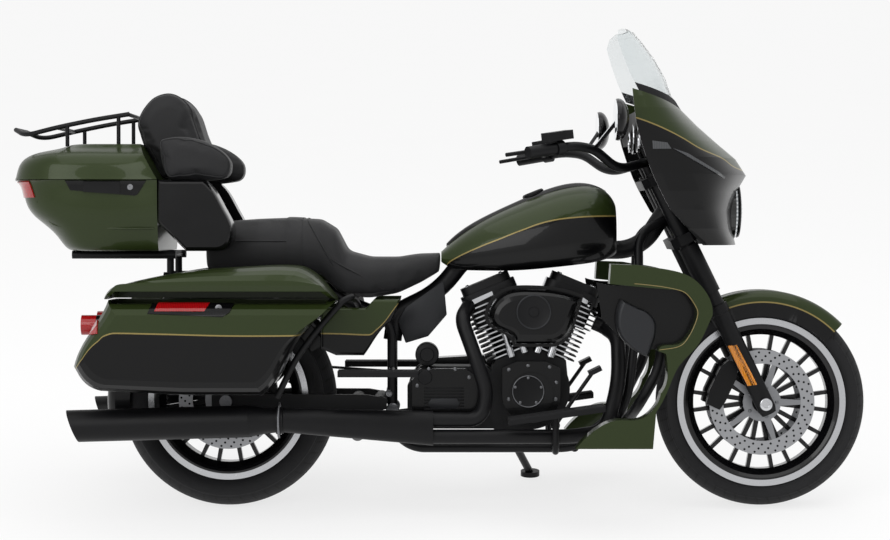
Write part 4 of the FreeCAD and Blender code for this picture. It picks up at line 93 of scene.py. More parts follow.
def bore_of(side):
    """The matrix from a cylinder's own axis to the drawing; side is 1 for the front one and -1 for the rear one."""
    return Matrix.Translation(CRANK) @ Matrix.Rotation(side * V_ANGLE, 4, "Y")


# Wheels: each lip's and tyre's radius, the tyres' grooves, and each disc's band from inner to outer radius

FRONT_LIP, REAR_LIP = 0.238, 0.226
FRONT_TYRE_RADIUS, REAR_TYRE_RADIUS = 0.319, 0.3276
FRONT_GROOVES, REAR_GROOVES = 56, 50
FRONT_DISC_BAND, REAR_DISC_BAND = (0.118, 0.16), (0.108, 0.15)
DISC_HOLE_RADIUS = 0.0033
DISC_HOLES_IN_ROW = 30


# Camera, light and floor

CAMERA_PLACE = Vector((0.6594, -7.6, 0.86))
CAMERA_TILT = math.radians(1.04)
FLOOR_WIDTH = 60
WHITE_SHARE = 0.75


def place_camera():
    """Level with the upright machine's side, as the photograph was taken, 7.6 m away."""
    data = bpy.data.cameras.new("camera")
    data.lens = 100.2
    data.sensor_width = 36
    data.clip_end = 100
    camera = bpy.data.objects.new("camera", data)
    bpy.context.scene.collection.objects.link(camera)
    camera.location = TO_FRAME @ CAMERA_PLACE
    camera.rotation_euler = (math.pi / 2 - LEAN - CAMERA_TILT, 0, 0)
    bpy.context.scene.camera = camera


def linear(hex_colour):
    """An sRGB hex colour as linear red, green and blue, with full alpha."""
    values = [int(hex_colour[i:i + 2], 16) / 255 for i in (1, 3, 5)]
    return [v / 12.92 if v <= 0.04045 else ((v + 0.055) / 1.055) ** 2.4 for v in values] + [1.0]


def feed(made, inputs):
    """Give a node's inputs numbers, hex colours, or links from a socket or from a node's first output in use."""
    for name, value in inputs.items():
        by_place = isinstance(name, int)
        socket = made.inputs[name] if by_place else next(s for s in made.inputs if s.name == name and s.enabled)
        if isinstance(value, bpy.types.Node):
            value = next(s for s in value.outputs if s.enabled)
        if isinstance(value, bpy.types.NodeSocket):
            made.id_data.links.new(value, socket)
        else:
            socket.default_value = linear(value) if isinstance(value, str) else value
    return made


def node(tree, kind, inputs=None, **settings):
    """Add a node with its settings, and feed its inputs."""
    made = tree.nodes.new("ShaderNode" + kind)
    for name, value in settings.items():
        setattr(made, name, value)
    return feed(made, inputs or {})


def new_finish(name):
    """A material, its nodes, and the socket that gives each point's place on the piece."""
    material = bpy.data.materials.new(name)
    material.use_nodes = True
    tree = material.node_tree
    return material, tree, node(tree, "TexCoord").outputs["Object"]


def dress(material, inputs):
    """Feed the material's shader."""
    feed(material.node_tree.nodes["Principled BSDF"], inputs)
    return material


def upright(tree, place, matrix=TO_DRAWING):
    """Place on the upright drawing, or where another matrix takes it, forward, leftward and upward in metres."""
    at = node(tree, "Mapping", {
        "Vector": place, "Location": matrix.to_translation(), "Rotation": matrix.to_euler(),
    })
    return node(tree, "SeparateXYZ", {"Vector": at}).outputs


def seen_straight(tree):
    """Whether a ray comes from the camera, perhaps through glass."""
    rays = node(tree, "LightPath").outputs
    return node(tree, "Math", {0: rays["Is Camera Ray"], 1: rays["Is Transmission Ray"]}, operation="MAXIMUM")


def light_scene():
    """Even studio light: a bright sky, one broad lamp above and one beside the camera."""
    world = bpy.data.worlds.new("studio")
    bpy.context.scene.world = world
    world.use_nodes = True
    tree = world.node_tree
    tree.nodes.clear()
    strength = node(tree, "MapRange", {"Value": seen_straight(tree), "To Min": 0.75, "To Max": 1.0})
    sky = node(tree, "Background", {"Color": "#ffffff", "Strength": strength})
    node(tree, "OutputWorld", {"Surface": sky})
    lamps = (
        ("overhead_lamp", (0.3, -0.4, 4.2), (0, 0, 0), 5.0, 74),
        ("side_lamp", (-2.6, -4.4, 3.4), (math.radians(52), 0, math.radians(-30)), 3.0, 66),
    )
    for name, place, turn, size, power in lamps:
        data = bpy.data.lights.new(name, "AREA")
        data.size = size
        data.energy = power
        lamp = bpy.data.objects.new(name, data)
        bpy.context.scene.collection.objects.link(lamp)
        lamp.location = place
        lamp.rotation_euler = turn


def lay_floor():
    """White studio floor: what looks at it sees mostly plain white, with the object's shadow left on it."""
    bpy.ops.mesh.primitive_plane_add(size=FLOOR_WIDTH, location=(0, 0, 0))
    floor = bpy.context.object
    floor.name = "floor"
    material, tree, place = new_finish("white_studio_floor")
    mirrored_ray = node(tree, "LightPath").outputs["Is Glossy Ray"]
    seen = node(tree, "Math", {0: seen_straight(tree), 1: mirrored_ray}, operation="MAXIMUM")
    share = node(tree, "Math", {0: seen, 1: WHITE_SHARE}, operation="MULTIPLY")
    smudges = node(tree, "TexNoise", {"Vector": place, "Scale": 1000 / 400})
    dress(material, {
        "Base Color": node(tree, "Mix", {"Factor": smudges, "A": "#fcfcfc", "B": "#ffffff"}, data_type="RGBA"),
        "Roughness": 0.9, "Specular IOR Level": 0.0,
    })
    white = node(tree, "Emission", {"Color": "#ffffff", "Strength": 1.0})
    both = node(tree, "MixShader", {"Fac": share, 1: tree.nodes["Principled BSDF"], 2: white})
    feed(tree.nodes["Material Output"], {"Surface": both})
    floor.data.materials.append(material)


# Finishes of the painted panels

FOREST_GREEN = "#303c1a"
FOREST_GREEN_DEEP = "#222b12"
PIANO_BLACK = "#060607"
GOLD = "#8a7a48"
LINE_WIDTH = 0.0042
FENDER_LINE_RADIUS = 0.306
CLEAR_COAT = {
    "Coat Weight": 0.28, "Coat Roughness": 0.04, "Roughness": 0.34, "Metallic": 0.25, "Specular IOR Level": 0.18,
}


def flakes(tree, place):
    """Fine metal flakes under the clear coat, drawn about 1.5 mm wide so that they show."""
    grains = node(tree, "TexNoise", {"Vector": place, "Scale": 1000 / 1.5, "Detail": 3.0})
    return node(tree, "Mix", {"Factor": grains, "A": FOREST_GREEN_DEEP, "B": FOREST_GREEN}, data_type="RGBA")


def sprayed_relief(tree, place):
    """Orange peel of sprayed paint, in soft dimples 12 mm wide."""
    dimples = node(tree, "TexNoise", {"Vector": place, "Scale": 1000 / 12})
    return node(tree, "Bump", {"Height": dimples, "Distance": 0.00003})


def plain_green():
    """Sheet and moulded panels in metallic forest green under clear coat: a deep gloss with a fine sparkle."""
    material, tree, place = new_finish("forest_green_paint")
    return dress(material, {
        **CLEAR_COAT, "Base Color": flakes(tree, place), "Normal": sprayed_relief(tree, place),
    })


def lined_paint(name, height_over_line):
    """Green above a thin gold pinstripe and gloss black below it, all under one clear coat."""
    material, tree, place = new_finish(name)
    over = height_over_line(tree, place)
    green = node(tree, "Math", {0: over, 1: 0.0}, operation="GREATER_THAN")
    on_line = node(tree, "Math", {0: over, 1: 0.0, 2: LINE_WIDTH / 2}, operation="COMPARE")
    sides = node(tree, "Mix", {"Factor": green, "A": PIANO_BLACK, "B": flakes(tree, place)}, data_type="RGBA")
    return dress(material, {
        **CLEAR_COAT, "Normal": sprayed_relief(tree, place),
        "Base Color": node(tree, "Mix", {"Factor": on_line, "A": sides, "B": GOLD}, data_type="RGBA"),
    })


def over_side_line(points):
    """Height above a line drawn in side view through these points, forward and up."""
    back, front = points[0][0], points[-1][0]
    heights = [z for x, z in points]
    floor, ceiling = min(heights) - 0.01, max(heights) + 0.01

    def build(tree, place):
        at = upright(tree, place)
        along = node(tree, "MapRange", {"Value": at["X"], "From Min": back, "From Max": front})
        curve = node(tree, "FloatCurve", {"Value": along})
        line = curve.mapping.curves[0]
        shares = [((x - back) / (front - back), (z - floor) / (ceiling - floor)) for x, z in points]
        line.points[0].location = shares[0]
        line.points[-1].location = shares[-1]
        for share in shares[1:-1]:
            line.points.new(*share)
        for point in line.points:
            point.handle_type = "AUTO_CLAMPED"
        curve.mapping.update()
        height = node(tree, "MapRange", {"Value": curve, "To Min": floor, "To Max": ceiling})
        return node(tree, "Math", {0: at["Z"], 1: height}, operation="SUBTRACT")

    return build


def from_axle(tree, place, axle):
    """Distance from an axle's line, the angle round it, and the distance from the wheel's middle plane."""
    at = upright(tree, place, Matrix.Translation(-axle) @ TO_DRAWING)
    arm = node(tree, "CombineXYZ", {"X": at["X"], "Y": at["Z"]})
    radius = node(tree, "VectorMath", {0: arm}, operation="LENGTH")
    turn = node(tree, "Math", {0: at["Z"], 1: at["X"]}, operation="ARCTAN2")
    return radius, turn, at["Y"]


def over_fender_line(tree, place):
    """The front fender's line runs round the wheel, a hand's breadth below its ridge."""
    radius = from_axle(tree, place, FRONT_AXLE)[0]
    return node(tree, "Math", {0: radius, 1: FENDER_LINE_RADIUS}, operation="SUBTRACT")


BAG_LINE = [
    (-0.43, 0.425), (-0.418, 0.438), (-0.395, 0.467), (-0.366, 0.505), (-0.343, 0.525), (-0.322, 0.541),
    (-0.293, 0.547), (-0.192, 0.545), (0.096, 0.539), (0.36, 0.542),
]
TANK_LINE = [
    (0.64, 0.7), (0.656, 0.722), (0.668, 0.743), (0.689, 0.758), (0.764, 0.794), (0.824, 0.818), (0.884, 0.842),
    (0.974, 0.872), (1.064, 0.884), (1.2, 0.888),
]
FAIRING_LINE = [
    (1.19, 1.18), (1.215, 1.173), (1.258, 1.158), (1.302, 1.14), (1.352, 1.116), (1.411, 1.084), (1.486, 1.056),
    (1.525, 1.034), (1.6, 1.02),
]
COVER_LINE = [
    (0.26, 0.536), (0.277, 0.536), (0.346, 0.535), (0.429, 0.532), (0.453, 0.546), (0.516, 0.621), (0.54, 0.65),
]


# Plain finishes: colour and roughness drift a little from patch to patch, over a fine relief

def drift(tree, place, width, low, high):
    """Roughness that drifts between two values over patches of a width in mm."""
    patches = node(tree, "TexNoise", {"Vector": place, "Scale": 1000 / width})
    return node(tree, "MapRange", {"Value": patches, "To Min": low, "To Max": high})


def mottled(name, patch_width, colours, roughness, shader, relief=None, pattern="TexNoise"):
    """A finish between two colours and two roughnesses; relief is its pattern's width and depth. Widths in mm."""
    material, tree, place = new_finish(name)
    patches = node(tree, "TexNoise", {"Vector": place, "Scale": 1000 / patch_width})
    inputs = {
        "Base Color": node(tree, "Mix", {"Factor": patches, "A": colours[0], "B": colours[1]}, data_type="RGBA"),
        "Roughness": drift(tree, place, patch_width, *roughness),
    }
    if relief:
        width, depth = relief
        bumps = node(tree, pattern, {"Vector": place, "Scale": 1000 / width})
        inputs["Normal"] = node(tree, "Bump", {"Height": bumps, "Distance": depth / 1000})
    return dress(material, {**inputs, **shader})


# Gold pinstripe enamel, laid on by hand: thin, with a faint drag of the brush
GOLD_PAINT = mottled("gold_pinstripe_enamel", 8, (GOLD, "#7a6b3e"), (0.3, 0.42), {})

# Moulded ABS in piano black: smooth, with faint waves left by the mould
GLOSS = mottled("piano_black_abs", 60, (PIANO_BLACK, "#0c0c0d"), (0.16, 0.24), {
    "Coat Weight": 0.18, "Coat Roughness": 0.05, "Specular IOR Level": 0.18,
}, (60, 0.1))

# Powder-coated steel and aluminium: an even satin black with fine orange peel, 2 mm wide
SATIN = mottled("satin_black_powder_coat", 40, ("#09090b", "#101012"), (0.38, 0.5),
                {"Specular IOR Level": 0.22}, (2, 0.08))

# Cast aluminium in black wrinkle paint: small soft ridges about 3 mm apart that scatter the light
WRINKLE = mottled("black_wrinkle_paint", 30, ("#0b0b0d", "#161618"), (0.48, 0.62),
                  {"Specular IOR Level": 0.3}, (3, 0.25), "TexVoronoi")

# Chromed steel tube and polished aluminium: a mirror with the faintest haze
BRIGHT = mottled("chromed_steel", 20, ("#c4c5c8", "#d8d9dc"), (0.1, 0.2), {"Metallic": 1.0})

# Zinc-plated bolt steel: grey, dull, slightly uneven
ZINC = mottled("zinc_plated_steel", 5, ("#6b6c6f", "#8b8c8f"), (0.34, 0.48), {"Metallic": 1.0})

# Moulded soft rubber for grips and treads: black and dull, a little paler in some patches than in others
RUBBER = mottled("moulded_rubber", 15, ("#0f0f11", "#18181a"), (0.68, 0.82), {"Specular IOR Level": 0.3}, (1.6, 0.1))

# Textured polypropylene of the dash and inner panels: dark grey with a fine leather grain, 1.5 mm wide
PLASTIC = mottled("grained_polypropylene", 50, ("#141416", "#1c1c1e"), (0.5, 0.62),
                  {"Specular IOR Level": 0.35}, (1.5, 0.12))

# Cast acrylic windshield: clear, very slightly grey, with fine haze
SCREEN = mottled("clear_acrylic", 200, ("#e9edee", "#f4f6f6"), (0.02, 0.05), {"Transmission Weight": 0.96, "IOR": 1.05})

# Silvered mirror glass, as clean as a rider keeps it
MIRROR = mottled("silvered_glass", 60, ("#dfe3e6", "#eef0f2"), (0.02, 0.04), {"Metallic": 1.0})


# Finishes with a pattern of their own

LAMP_BACK = -0.385
STALK_REACH = 0.143
CROWN_DEPTH = 0.03
TREAD_DEPTH = 0.002


def waves(tree, distance, pitch):
    """Waves between -1 and 1 along a distance, their crests a pitch apart."""
    phase = node(tree, "Math", {0: distance, 1: 2 * math.pi / pitch}, operation="MULTIPLY")
    return node(tree, "Math", {0: phase}, operation="SINE")


def tail_lamp():
    """Round tail lamps: red lens at the back of a black housing, on black stalks."""
    material, tree, place = new_finish("tail_lamp_lens")
    at = upright(tree, place)
    behind = node(tree, "Math", {0: at["X"], 1: LAMP_BACK}, operation="LESS_THAN")
    side = node(tree, "Math", {0: at["Y"]}, operation="ABSOLUTE")
    pod = node(tree, "Math", {0: side, 1: STALK_REACH}, operation="GREATER_THAN")
    red = node(tree, "Math", {0: behind, 1: pod}, operation="MULTIPLY")
    return dress(material, {
        "Base Color": node(tree, "Mix", {"Factor": red, "A": "#0b0b0d", "B": "#a80f14"}, data_type="RGBA"),
        "Roughness": drift(tree, place, 10, 0.14, 0.26),
        "Coat Weight": 0.4, "Coat Roughness": 0.04, "Specular IOR Level": 0.35,
    })


def finned_black(name, side):
    """Black painted cylinder whose fins are machined bright on their edges."""
    material, tree, place = new_finish(name)
    at = upright(tree, place, (TO_FRAME @ bore_of(side)).inverted())
    along, out, up = (node(tree, "Math", {0: at[axis]}, operation="ABSOLUTE") for axis in "XYZ")
    length = node(tree, "Math", {0: along, 1: FIN_HALF_LENGTH}, operation="DIVIDE")
    width = node(tree, "Math", {0: out, 1: FIN_HALF_WIDTH}, operation="DIVIDE")
    outermost = node(tree, "Math", {0: length, 1: width}, operation="MAXIMUM")
    edge = node(tree, "Math", {0: outermost, 1: FIN_EDGE_SHARE}, operation="GREATER_THAN")
    barrel = node(tree, "Math", {0: up, 1: BARREL_FOOT}, operation="GREATER_THAN")
    edge = node(tree, "Math", {0: edge, 1: barrel}, operation="MULTIPLY")
    grit = node(tree, "TexNoise", {"Vector": place, "Scale": 1000 / 3})
    return dress(material, {
        "Base Color": node(tree, "Mix", {"Factor": edge, "A": "#0d0d0f", "B": "#c4c5c8"}, data_type="RGBA"),
        "Metallic": edge, "Roughness": node(tree, "MapRange", {"Value": edge, "To Min": 0.5, "To Max": 0.28}),
        "Normal": node(tree, "Bump", {"Height": grit, "Distance": 0.00006}), "Specular IOR Level": 0.3,
    })


def wheel_finish(name, axle, lip):
    """Cast aluminium wheel in gloss black, with its rim lip machined bright in rings 2.5 mm apart."""
    material, tree, place = new_finish(name)
    radius = from_axle(tree, place, axle)[0]
    on_lip = node(tree, "Math", {0: radius, 1: lip}, operation="GREATER_THAN")
    sideways = TO_FRAME.to_3x3() @ LEFTWARD
    facing = node(tree, "VectorMath", {0: place.node.outputs["Normal"], 1: sideways}, operation="DOT_PRODUCT")
    facing = node(tree, "Math", {0: facing}, operation="ABSOLUTE")
    flat = node(tree, "Math", {0: facing, 1: 0.8}, operation="GREATER_THAN")
    bright = node(tree, "Math", {0: on_lip, 1: flat}, operation="MULTIPLY")
    rings = waves(tree, radius, 0.0025)
    return dress(material, {
        "Base Color": node(tree, "Mix", {"Factor": bright, "A": "#09090b", "B": "#c6c7ca"}, data_type="RGBA"),
        "Metallic": bright, "Roughness": drift(tree, place, 10, 0.2, 0.3),
        "Normal": node(tree, "Bump", {"Height": rings, "Strength": bright, "Distance": 0.00002}),
        "Coat Weight": 0.3, "Coat Roughness": 0.06, "Specular IOR Level": 0.3,
    })


def disc_finish(name, axle, band):
    """Stainless brake disc: ground in circles 2 mm apart, with rows of small drilled holes in its band, drawn as
    near-black spots of painted shade.
    """
    material, tree, place = new_finish(name)
    radius, turn, _ = from_axle(tree, place, axle)
    inner, outer = band
    hole_shade = 0.0
    # Mask of the drilled holes, where the colour is painted near-black as the shade in each hole
    for share, offset in ((0.25, 0.0), (0.55, 0.35), (0.82, 0.7)):
        middle = inner + (outer - inner) * share
        spacing = 2 * math.pi * middle / DISC_HOLES_IN_ROW
        pitch = node(tree, "Math", {0: turn, 1: middle / spacing, 2: offset}, operation="MULTIPLY_ADD")
        step = node(tree, "Math", {0: pitch, 1: 1.0}, operation="FLOORED_MODULO")
        along = node(tree, "Math", {0: step, 1: 0.5}, operation="SUBTRACT")
        along = node(tree, "Math", {0: along, 1: spacing}, operation="MULTIPLY")
        inward = node(tree, "Math", {0: radius, 1: middle}, operation="SUBTRACT")
        away = node(tree, "CombineXYZ", {"X": along, "Y": inward})
        away = node(tree, "VectorMath", {0: away}, operation="LENGTH")
        row = node(tree, "Math", {0: away, 1: DISC_HOLE_RADIUS}, operation="LESS_THAN")
        hole_shade = node(tree, "Math", {0: row, 1: hole_shade}, operation="MAXIMUM")
    in_band = node(tree, "Math", {0: radius, 1: inner}, operation="GREATER_THAN")
    tone = node(tree, "Mix", {"Factor": in_band, "A": "#8e8f92", "B": "#a6a7aa"}, data_type="RGBA")
    return dress(material, {
        # Painted shade: the holes are coloured near-black instead of being cut
        "Base Color": node(tree, "Mix", {"Factor": hole_shade, "A": tone, "B": "#050506"}, data_type="RGBA"),
        "Metallic": 1.0, "Roughness": drift(tree, place, 8, 0.3, 0.42),
        "Normal": node(tree, "Bump", {"Height": waves(tree, radius, 0.002), "Distance": 0.00002}),
    })


def tyre_rubber(name, axle, outer, groove_count):
    """Vulcanised tyre rubber: dull near-black, slanting tread grooves on the crown, coloured darker as painted shade,
    and fine rings on the wall.
    """
    material, tree, place = new_finish(name)
    radius, turn, out = from_axle(tree, place, axle)
    crown = node(tree, "Math", {0: radius, 1: outer - CROWN_DEPTH}, operation="GREATER_THAN")
    side = node(tree, "Math", {0: out}, operation="ABSOLUTE")
    slant = node(tree, "Math", {0: side, 1: 26.0}, operation="MULTIPLY")
    slant = node(tree, "Math", {0: turn, 1: groove_count / 2, 2: slant}, operation="MULTIPLY_ADD")
    slant = node(tree, "Math", {0: slant}, operation="SINE")
    slanting = node(tree, "Math", {0: slant, 1: 0.0, 2: 0.24}, operation="COMPARE")
    outside = node(tree, "Math", {0: side, 1: 0.024}, operation="GREATER_THAN")
    slanting = node(tree, "Math", {0: slanting, 1: outside}, operation="MULTIPLY")
    straight = node(tree, "Math", {0: side, 1: 0.014, 2: 0.004}, operation="COMPARE")
    groove_and_shade = node(tree, "Math", {0: slanting, 1: straight}, operation="MAXIMUM")
    groove_and_shade = node(tree, "Math", {0: groove_and_shade, 1: crown}, operation="MULTIPLY")
    rings = node(tree, "Math", {0: waves(tree, radius, 0.006), 1: 0.06}, operation="MULTIPLY")
    height = node(tree, "Math", {0: rings, 1: groove_and_shade}, operation="SUBTRACT")
    patches = node(tree, "TexNoise", {"Vector": place, "Scale": 1000 / 30})
    rubber = node(tree, "Mix", {"Factor": patches, "A": "#101012", "B": "#19191b"}, data_type="RGBA")
    # The grooves are a bump and are also painted darker than the rubber: painted shade in the grooves
    return dress(material, {
        "Base Color": node(tree, "Mix", {"Factor": groove_and_shade, "A": rubber, "B": "#050506"}, data_type="RGBA"),
        "Roughness": drift(tree, place, 30, 0.62, 0.78),
        "Normal": node(tree, "Bump", {"Height": height, "Distance": TREAD_DEPTH}), "Specular IOR Level": 0.35,
    })


def grey_satin():
    """Satin charcoal paint on the pods and side plates, paler than the black round it."""
    material, tree, place = new_finish("charcoal_satin_paint")
    flecks = node(tree, "TexNoise", {"Vector": place, "Scale": 1000 / 2.5})
    dimples = node(tree, "TexNoise", {"Vector": place, "Scale": 1000 / 9})
    return dress(material, {
        "Base Color": node(tree, "Mix", {"Factor": flecks, "A": "#222325", "B": "#2c2d30"}, data_type="RGBA"),
        "Roughness": drift(tree, place, 9, 0.36, 0.46),
        "Normal": node(tree, "Bump", {"Height": dimples, "Distance": 0.00004}),
        "Metallic": 0.3, "Specular IOR Level": 0.35,
    })


def seat_vinyl():
    """Marine vinyl over foam: black, low sheen, with a leather grain of cells about 2.5 mm wide."""
    material, tree, place = new_finish("black_seat_vinyl")
    cells = node(tree, "TexVoronoi", {"Vector": place, "Scale": 1000 / 2.5}, feature="DISTANCE_TO_EDGE")
    grain = node(tree, "MapRange", {"Value": cells, "From Max": 0.12})
    wear = node(tree, "TexNoise", {"Vector": place, "Scale": 1000 / 90})
    return dress(material, {
        "Base Color": node(tree, "Mix", {"Factor": wear, "A": "#0f0f11", "B": "#19191b"}, data_type="RGBA"),
        "Roughness": drift(tree, place, 90, 0.46, 0.6),
        "Normal": node(tree, "Bump", {"Height": grain, "Distance": 0.00018}),
        "Sheen Weight": 0.05, "Sheen Roughness": 0.5, "Specular IOR Level": 0.35,
    })


def lens(name, rib_shade_colour, bright):
    """Moulded acrylic lens with fine upright ribs, 5 mm apart; its colour is painted paler on each rib and deeper
    between them, as painted highlight and shade.
    """
    material, tree, place = new_finish(name)
    ribs = waves(tree, upright(tree, place)["X"], 0.005)
    ribs = node(tree, "Math", {0: ribs, 1: 0.3, 2: 0.5}, operation="MULTIPLY_ADD")
    # Painted highlight and shade: the colour runs from the deep one between the ribs to the bright one on them
    return dress(material, {
        "Base Color": node(tree, "Mix", {"Factor": ribs, "A": rib_shade_colour, "B": bright}, data_type="RGBA"),
        "Roughness": drift(tree, place, 10, 0.12, 0.22),
        "Normal": node(tree, "Bump", {"Height": ribs, "Distance": 0.0003}),
        "Coat Weight": 0.5, "Coat Roughness": 0.03,
    })


def lamp_glass():
    """Headlamp: in front, pale and grey bands 12 mm apart as painted reflection of the optics behind the cover, and a
    black housing behind it.
    """
    material, tree, place = new_finish("headlamp_lens")
    bands = waves(tree, upright(tree, place)["Z"], 0.012)
    bands = node(tree, "Math", {0: bands, 1: 0.5, 2: 0.5}, operation="MULTIPLY_ADD")
    facing = node(tree, "VectorMath", {0: place.node.outputs["Normal"], 1: FORWARD}, operation="DOT_PRODUCT")
    front = node(tree, "Math", {0: facing, 1: 0.6}, operation="GREATER_THAN")
    # Painted reflection: pale and grey bands across the front stand for the lamp's optics
    optics_reflection = node(tree, "Mix", {"Factor": bands, "A": "#8f9498", "B": "#e6eaec"}, data_type="RGBA")
    return dress(material, {
        "Base Color": node(tree, "Mix", {"Factor": front, "A": "#0a0a0b", "B": optics_reflection}, data_type="RGBA"),
        "Metallic": node(tree, "Math", {0: front, 1: 0.6}, operation="MULTIPLY"),
        "Roughness": drift(tree, place, 15, 0.08, 0.16),
        "Normal": node(tree, "Bump", {"Height": bands, "Distance": 0.0008}),
        "Coat Weight": 0.8, "Coat Roughness": 0.02, "Specular IOR Level": 0.3,
    })


place_camera()
light_scene()
lay_floor()

GREEN = plain_green()
CHARCOAL = grey_satin()
VINYL = seat_vinyl()
# Each lens: the first colour is its painted shade between ribs, the second its painted highlight on them
RED_LENS = lens("red_lens", "#6e0608", "#b81016")
AMBER_LENS = lens("amber_lens", "#d87a08", "#f79f1c")
SMOKED_LENS = lens("smoked_lens", "#2b2c2e", "#4a4c4f")
LAMP = lamp_glass()
BAG_PAINT = lined_paint("bag_paint", over_side_line(BAG_LINE))
TANK_PAINT = lined_paint("tank_paint", over_side_line(TANK_LINE))
FAIRING_PAINT = lined_paint("fairing_paint", over_side_line(FAIRING_LINE))
COVER_PAINT = lined_paint("side_cover_paint", over_side_line(COVER_LINE))
FENDER_PAINT = lined_paint("front_fender_paint", over_fender_line)

# Finish of each node; one that isn't named here is powder-coated black

CAD_FINISHES = {
    "air_cleaner": GLOSS, "armrests": VINYL, "backrest": VINYL, "bag_lid_left": GREEN, "bag_lid_right": GREEN,
    "cylinder_front": finned_black("front_cylinder_paint", 1),
    "cylinder_rear": finned_black("rear_cylinder_paint", -1), "dash_panel": PLASTIC, "drive_belt": RUBBER,
    "engine_cases": WRINKLE, "engine_covers": GLOSS, "fairing": FAIRING_PAINT, "fairing_lowers": GREEN,
    "front_axle": ZINC, "front_discs": disc_finish("front_disc_steel", FRONT_AXLE, FRONT_DISC_BAND),
    "front_fender": FENDER_PAINT, "front_lamps": LAMP,
    "front_tyre": tyre_rubber("front_tyre_rubber", FRONT_AXLE, FRONT_TYRE_RADIUS, FRONT_GROOVES),
    "front_wheel": wheel_finish("front_wheel_finish", FRONT_AXLE, FRONT_LIP), "fuel_tank": TANK_PAINT,
    "head_front": finned_black("front_head_paint", 1), "head_rear": finned_black("rear_head_paint", -1),
    "lower_panels": GLOSS, "lower_pods": CHARCOAL, "mirrors": GLOSS, "pushrod_tubes": BRIGHT, "rear_axle": ZINC,
    "rear_disc": disc_finish("rear_disc_steel", REAR_AXLE, REAR_DISC_BAND), "rear_fender": GLOSS,
    "rear_lamps": tail_lamp(),
    "rear_tyre": tyre_rubber("rear_tyre_rubber", REAR_AXLE, REAR_TYRE_RADIUS, REAR_GROOVES),
    "rear_wheel": wheel_finish("rear_wheel_finish", REAR_AXLE, REAR_LIP), "saddlebags": BAG_PAINT, "seat": VINYL,
    "side_covers": COVER_PAINT, "speaker_pods": GLOSS, "tank_console": GLOSS, "tour_case": GREEN,
    "tour_lid": GREEN, "windshield": SCREEN,
}
for name, piece in frame["nodes"].items():
    piece.data.materials.clear()
    piece.data.materials.append(CAD_FINISHES.get(name, SATIN))


# Making of pieces, drawn upright

WELD = 0.00002
SINK = 0.001
DEEP_SINK = 0.002
EDGE = 0.0015
CREASE = math.radians(35)
FAR_OUT = 1.2

# Thicknesses of what lies on a surface

PLATE = 0.003
CATCH = 0.007
LAMP_DEPTH = 0.004
REFLECTOR = 0.005
STRAP = 0.0025
RUBBER_TRIM = 0.002
MIRROR_PANE = 0.001
TREAD = 0.004


def deselect():
    """Nothing selected, and object mode."""
    if bpy.context.object and bpy.context.object.mode != "OBJECT":
        bpy.ops.object.mode_set(mode="OBJECT")
    for item in bpy.context.view_layer.objects:
        item.select_set(False)


def take(piece):
    """Make one piece the only selected and active one."""
    deselect()
    piece.select_set(True)
    bpy.context.view_layer.objects.active = piece


def select_all():
    """In edit mode, select the whole piece."""
    bpy.ops.mesh.select_all(action="SELECT")


def edit(piece):
    """Enter edit mode with everything selected."""
    take(piece)
    bpy.ops.object.mode_set(mode="EDIT")
    select_all()


def leave_edit():
    """Back to object mode."""
    bpy.ops.object.mode_set(mode="OBJECT")


def close_outward():
    """Turn all faces outward, and leave edit mode."""
    select_all()
    bpy.ops.mesh.normals_make_consistent(inside=False)
    leave_edit()


def trim(planes):
    """In edit mode, cut away what lies outside any of the planes, each a place and a normal."""
    for place, normal in planes:
        select_all()
        bpy.ops.mesh.bisect(plane_co=place, plane_no=normal, clear_outer=True)


def keep_faces(piece, test):
    """In edit mode, delete the faces whose middle and normal don't pass the test."""
    bpy.ops.mesh.select_mode(type="FACE")
    mesh = bmesh.from_edit_mesh(piece.data)
    for face in mesh.faces:
        face.select = not test(face.calc_center_median(), face.normal)
    mesh.select_flush_mode()
    bmesh.update_edit_mesh(piece.data)
    bpy.ops.mesh.delete(type="FACE")


def modify(piece, kind, **settings):
    """Add a modifier and apply it."""
    take(piece)
    made = piece.modifiers.new(kind.lower(), kind)
    for name, value in settings.items():
        setattr(made, name, value)
    bpy.ops.object.modifier_apply(modifier=made.name)


def join(pieces, name):
    """One piece from several."""
    take(pieces[0])
    for piece in pieces[1:]:
        piece.select_set(True)
    bpy.ops.object.join()
    pieces[0].name = name
    return pieces[0]


def copied(piece, matrix):
    """Copy of a piece with its own mesh, moved by a matrix."""
    other = piece.copy()
    other.data = piece.data.copy()
    bpy.context.scene.collection.objects.link(other)
    other.data.transform(matrix)
    if matrix.determinant() < 0:
        other.data.flip_normals()
    return other


def both_sides(piece):
    """A piece joined with its mirror on the machine's other side."""
    return join([piece, copied(piece, Matrix.Diagonal((1, -1, 1, 1)))], piece.name)


def solid_of(source):
    """A node's solid, by its name, or a piece itself."""
    return frame["nodes"][source] if isinstance(source, str) else source


def form_of(name, source, matrix=TO_DRAWING):
    """Copy of the form alone of a node or piece, in edit mode, and upright unless another matrix is given."""
    source = solid_of(source)
    piece = source.copy()
    piece.data = source.data.copy()
    for key in [key for key in piece.keys() if key.startswith("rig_")]:
        del piece[key]
    piece.parent = None
    piece.hide_render = piece.hide_viewport = False
    piece.matrix_world = Matrix.Identity(4)
    bpy.context.scene.collection.objects.link(piece)
    piece.name = name
    piece.data.transform(matrix)
    edit(piece)
    return piece


def settle(piece, material, body="machine"):
    """Lean a finished piece with the machine, give it its finish, and let it move with a body."""
    take(piece)
    bpy.ops.object.transform_apply(location=True, rotation=True, scale=True)
    piece.data.transform(TO_FRAME)
    bpy.ops.object.shade_smooth_by_angle(angle=CREASE)
    piece.data.materials.clear()
    piece.data.materials.append(material)
    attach(piece, body)
    return piece


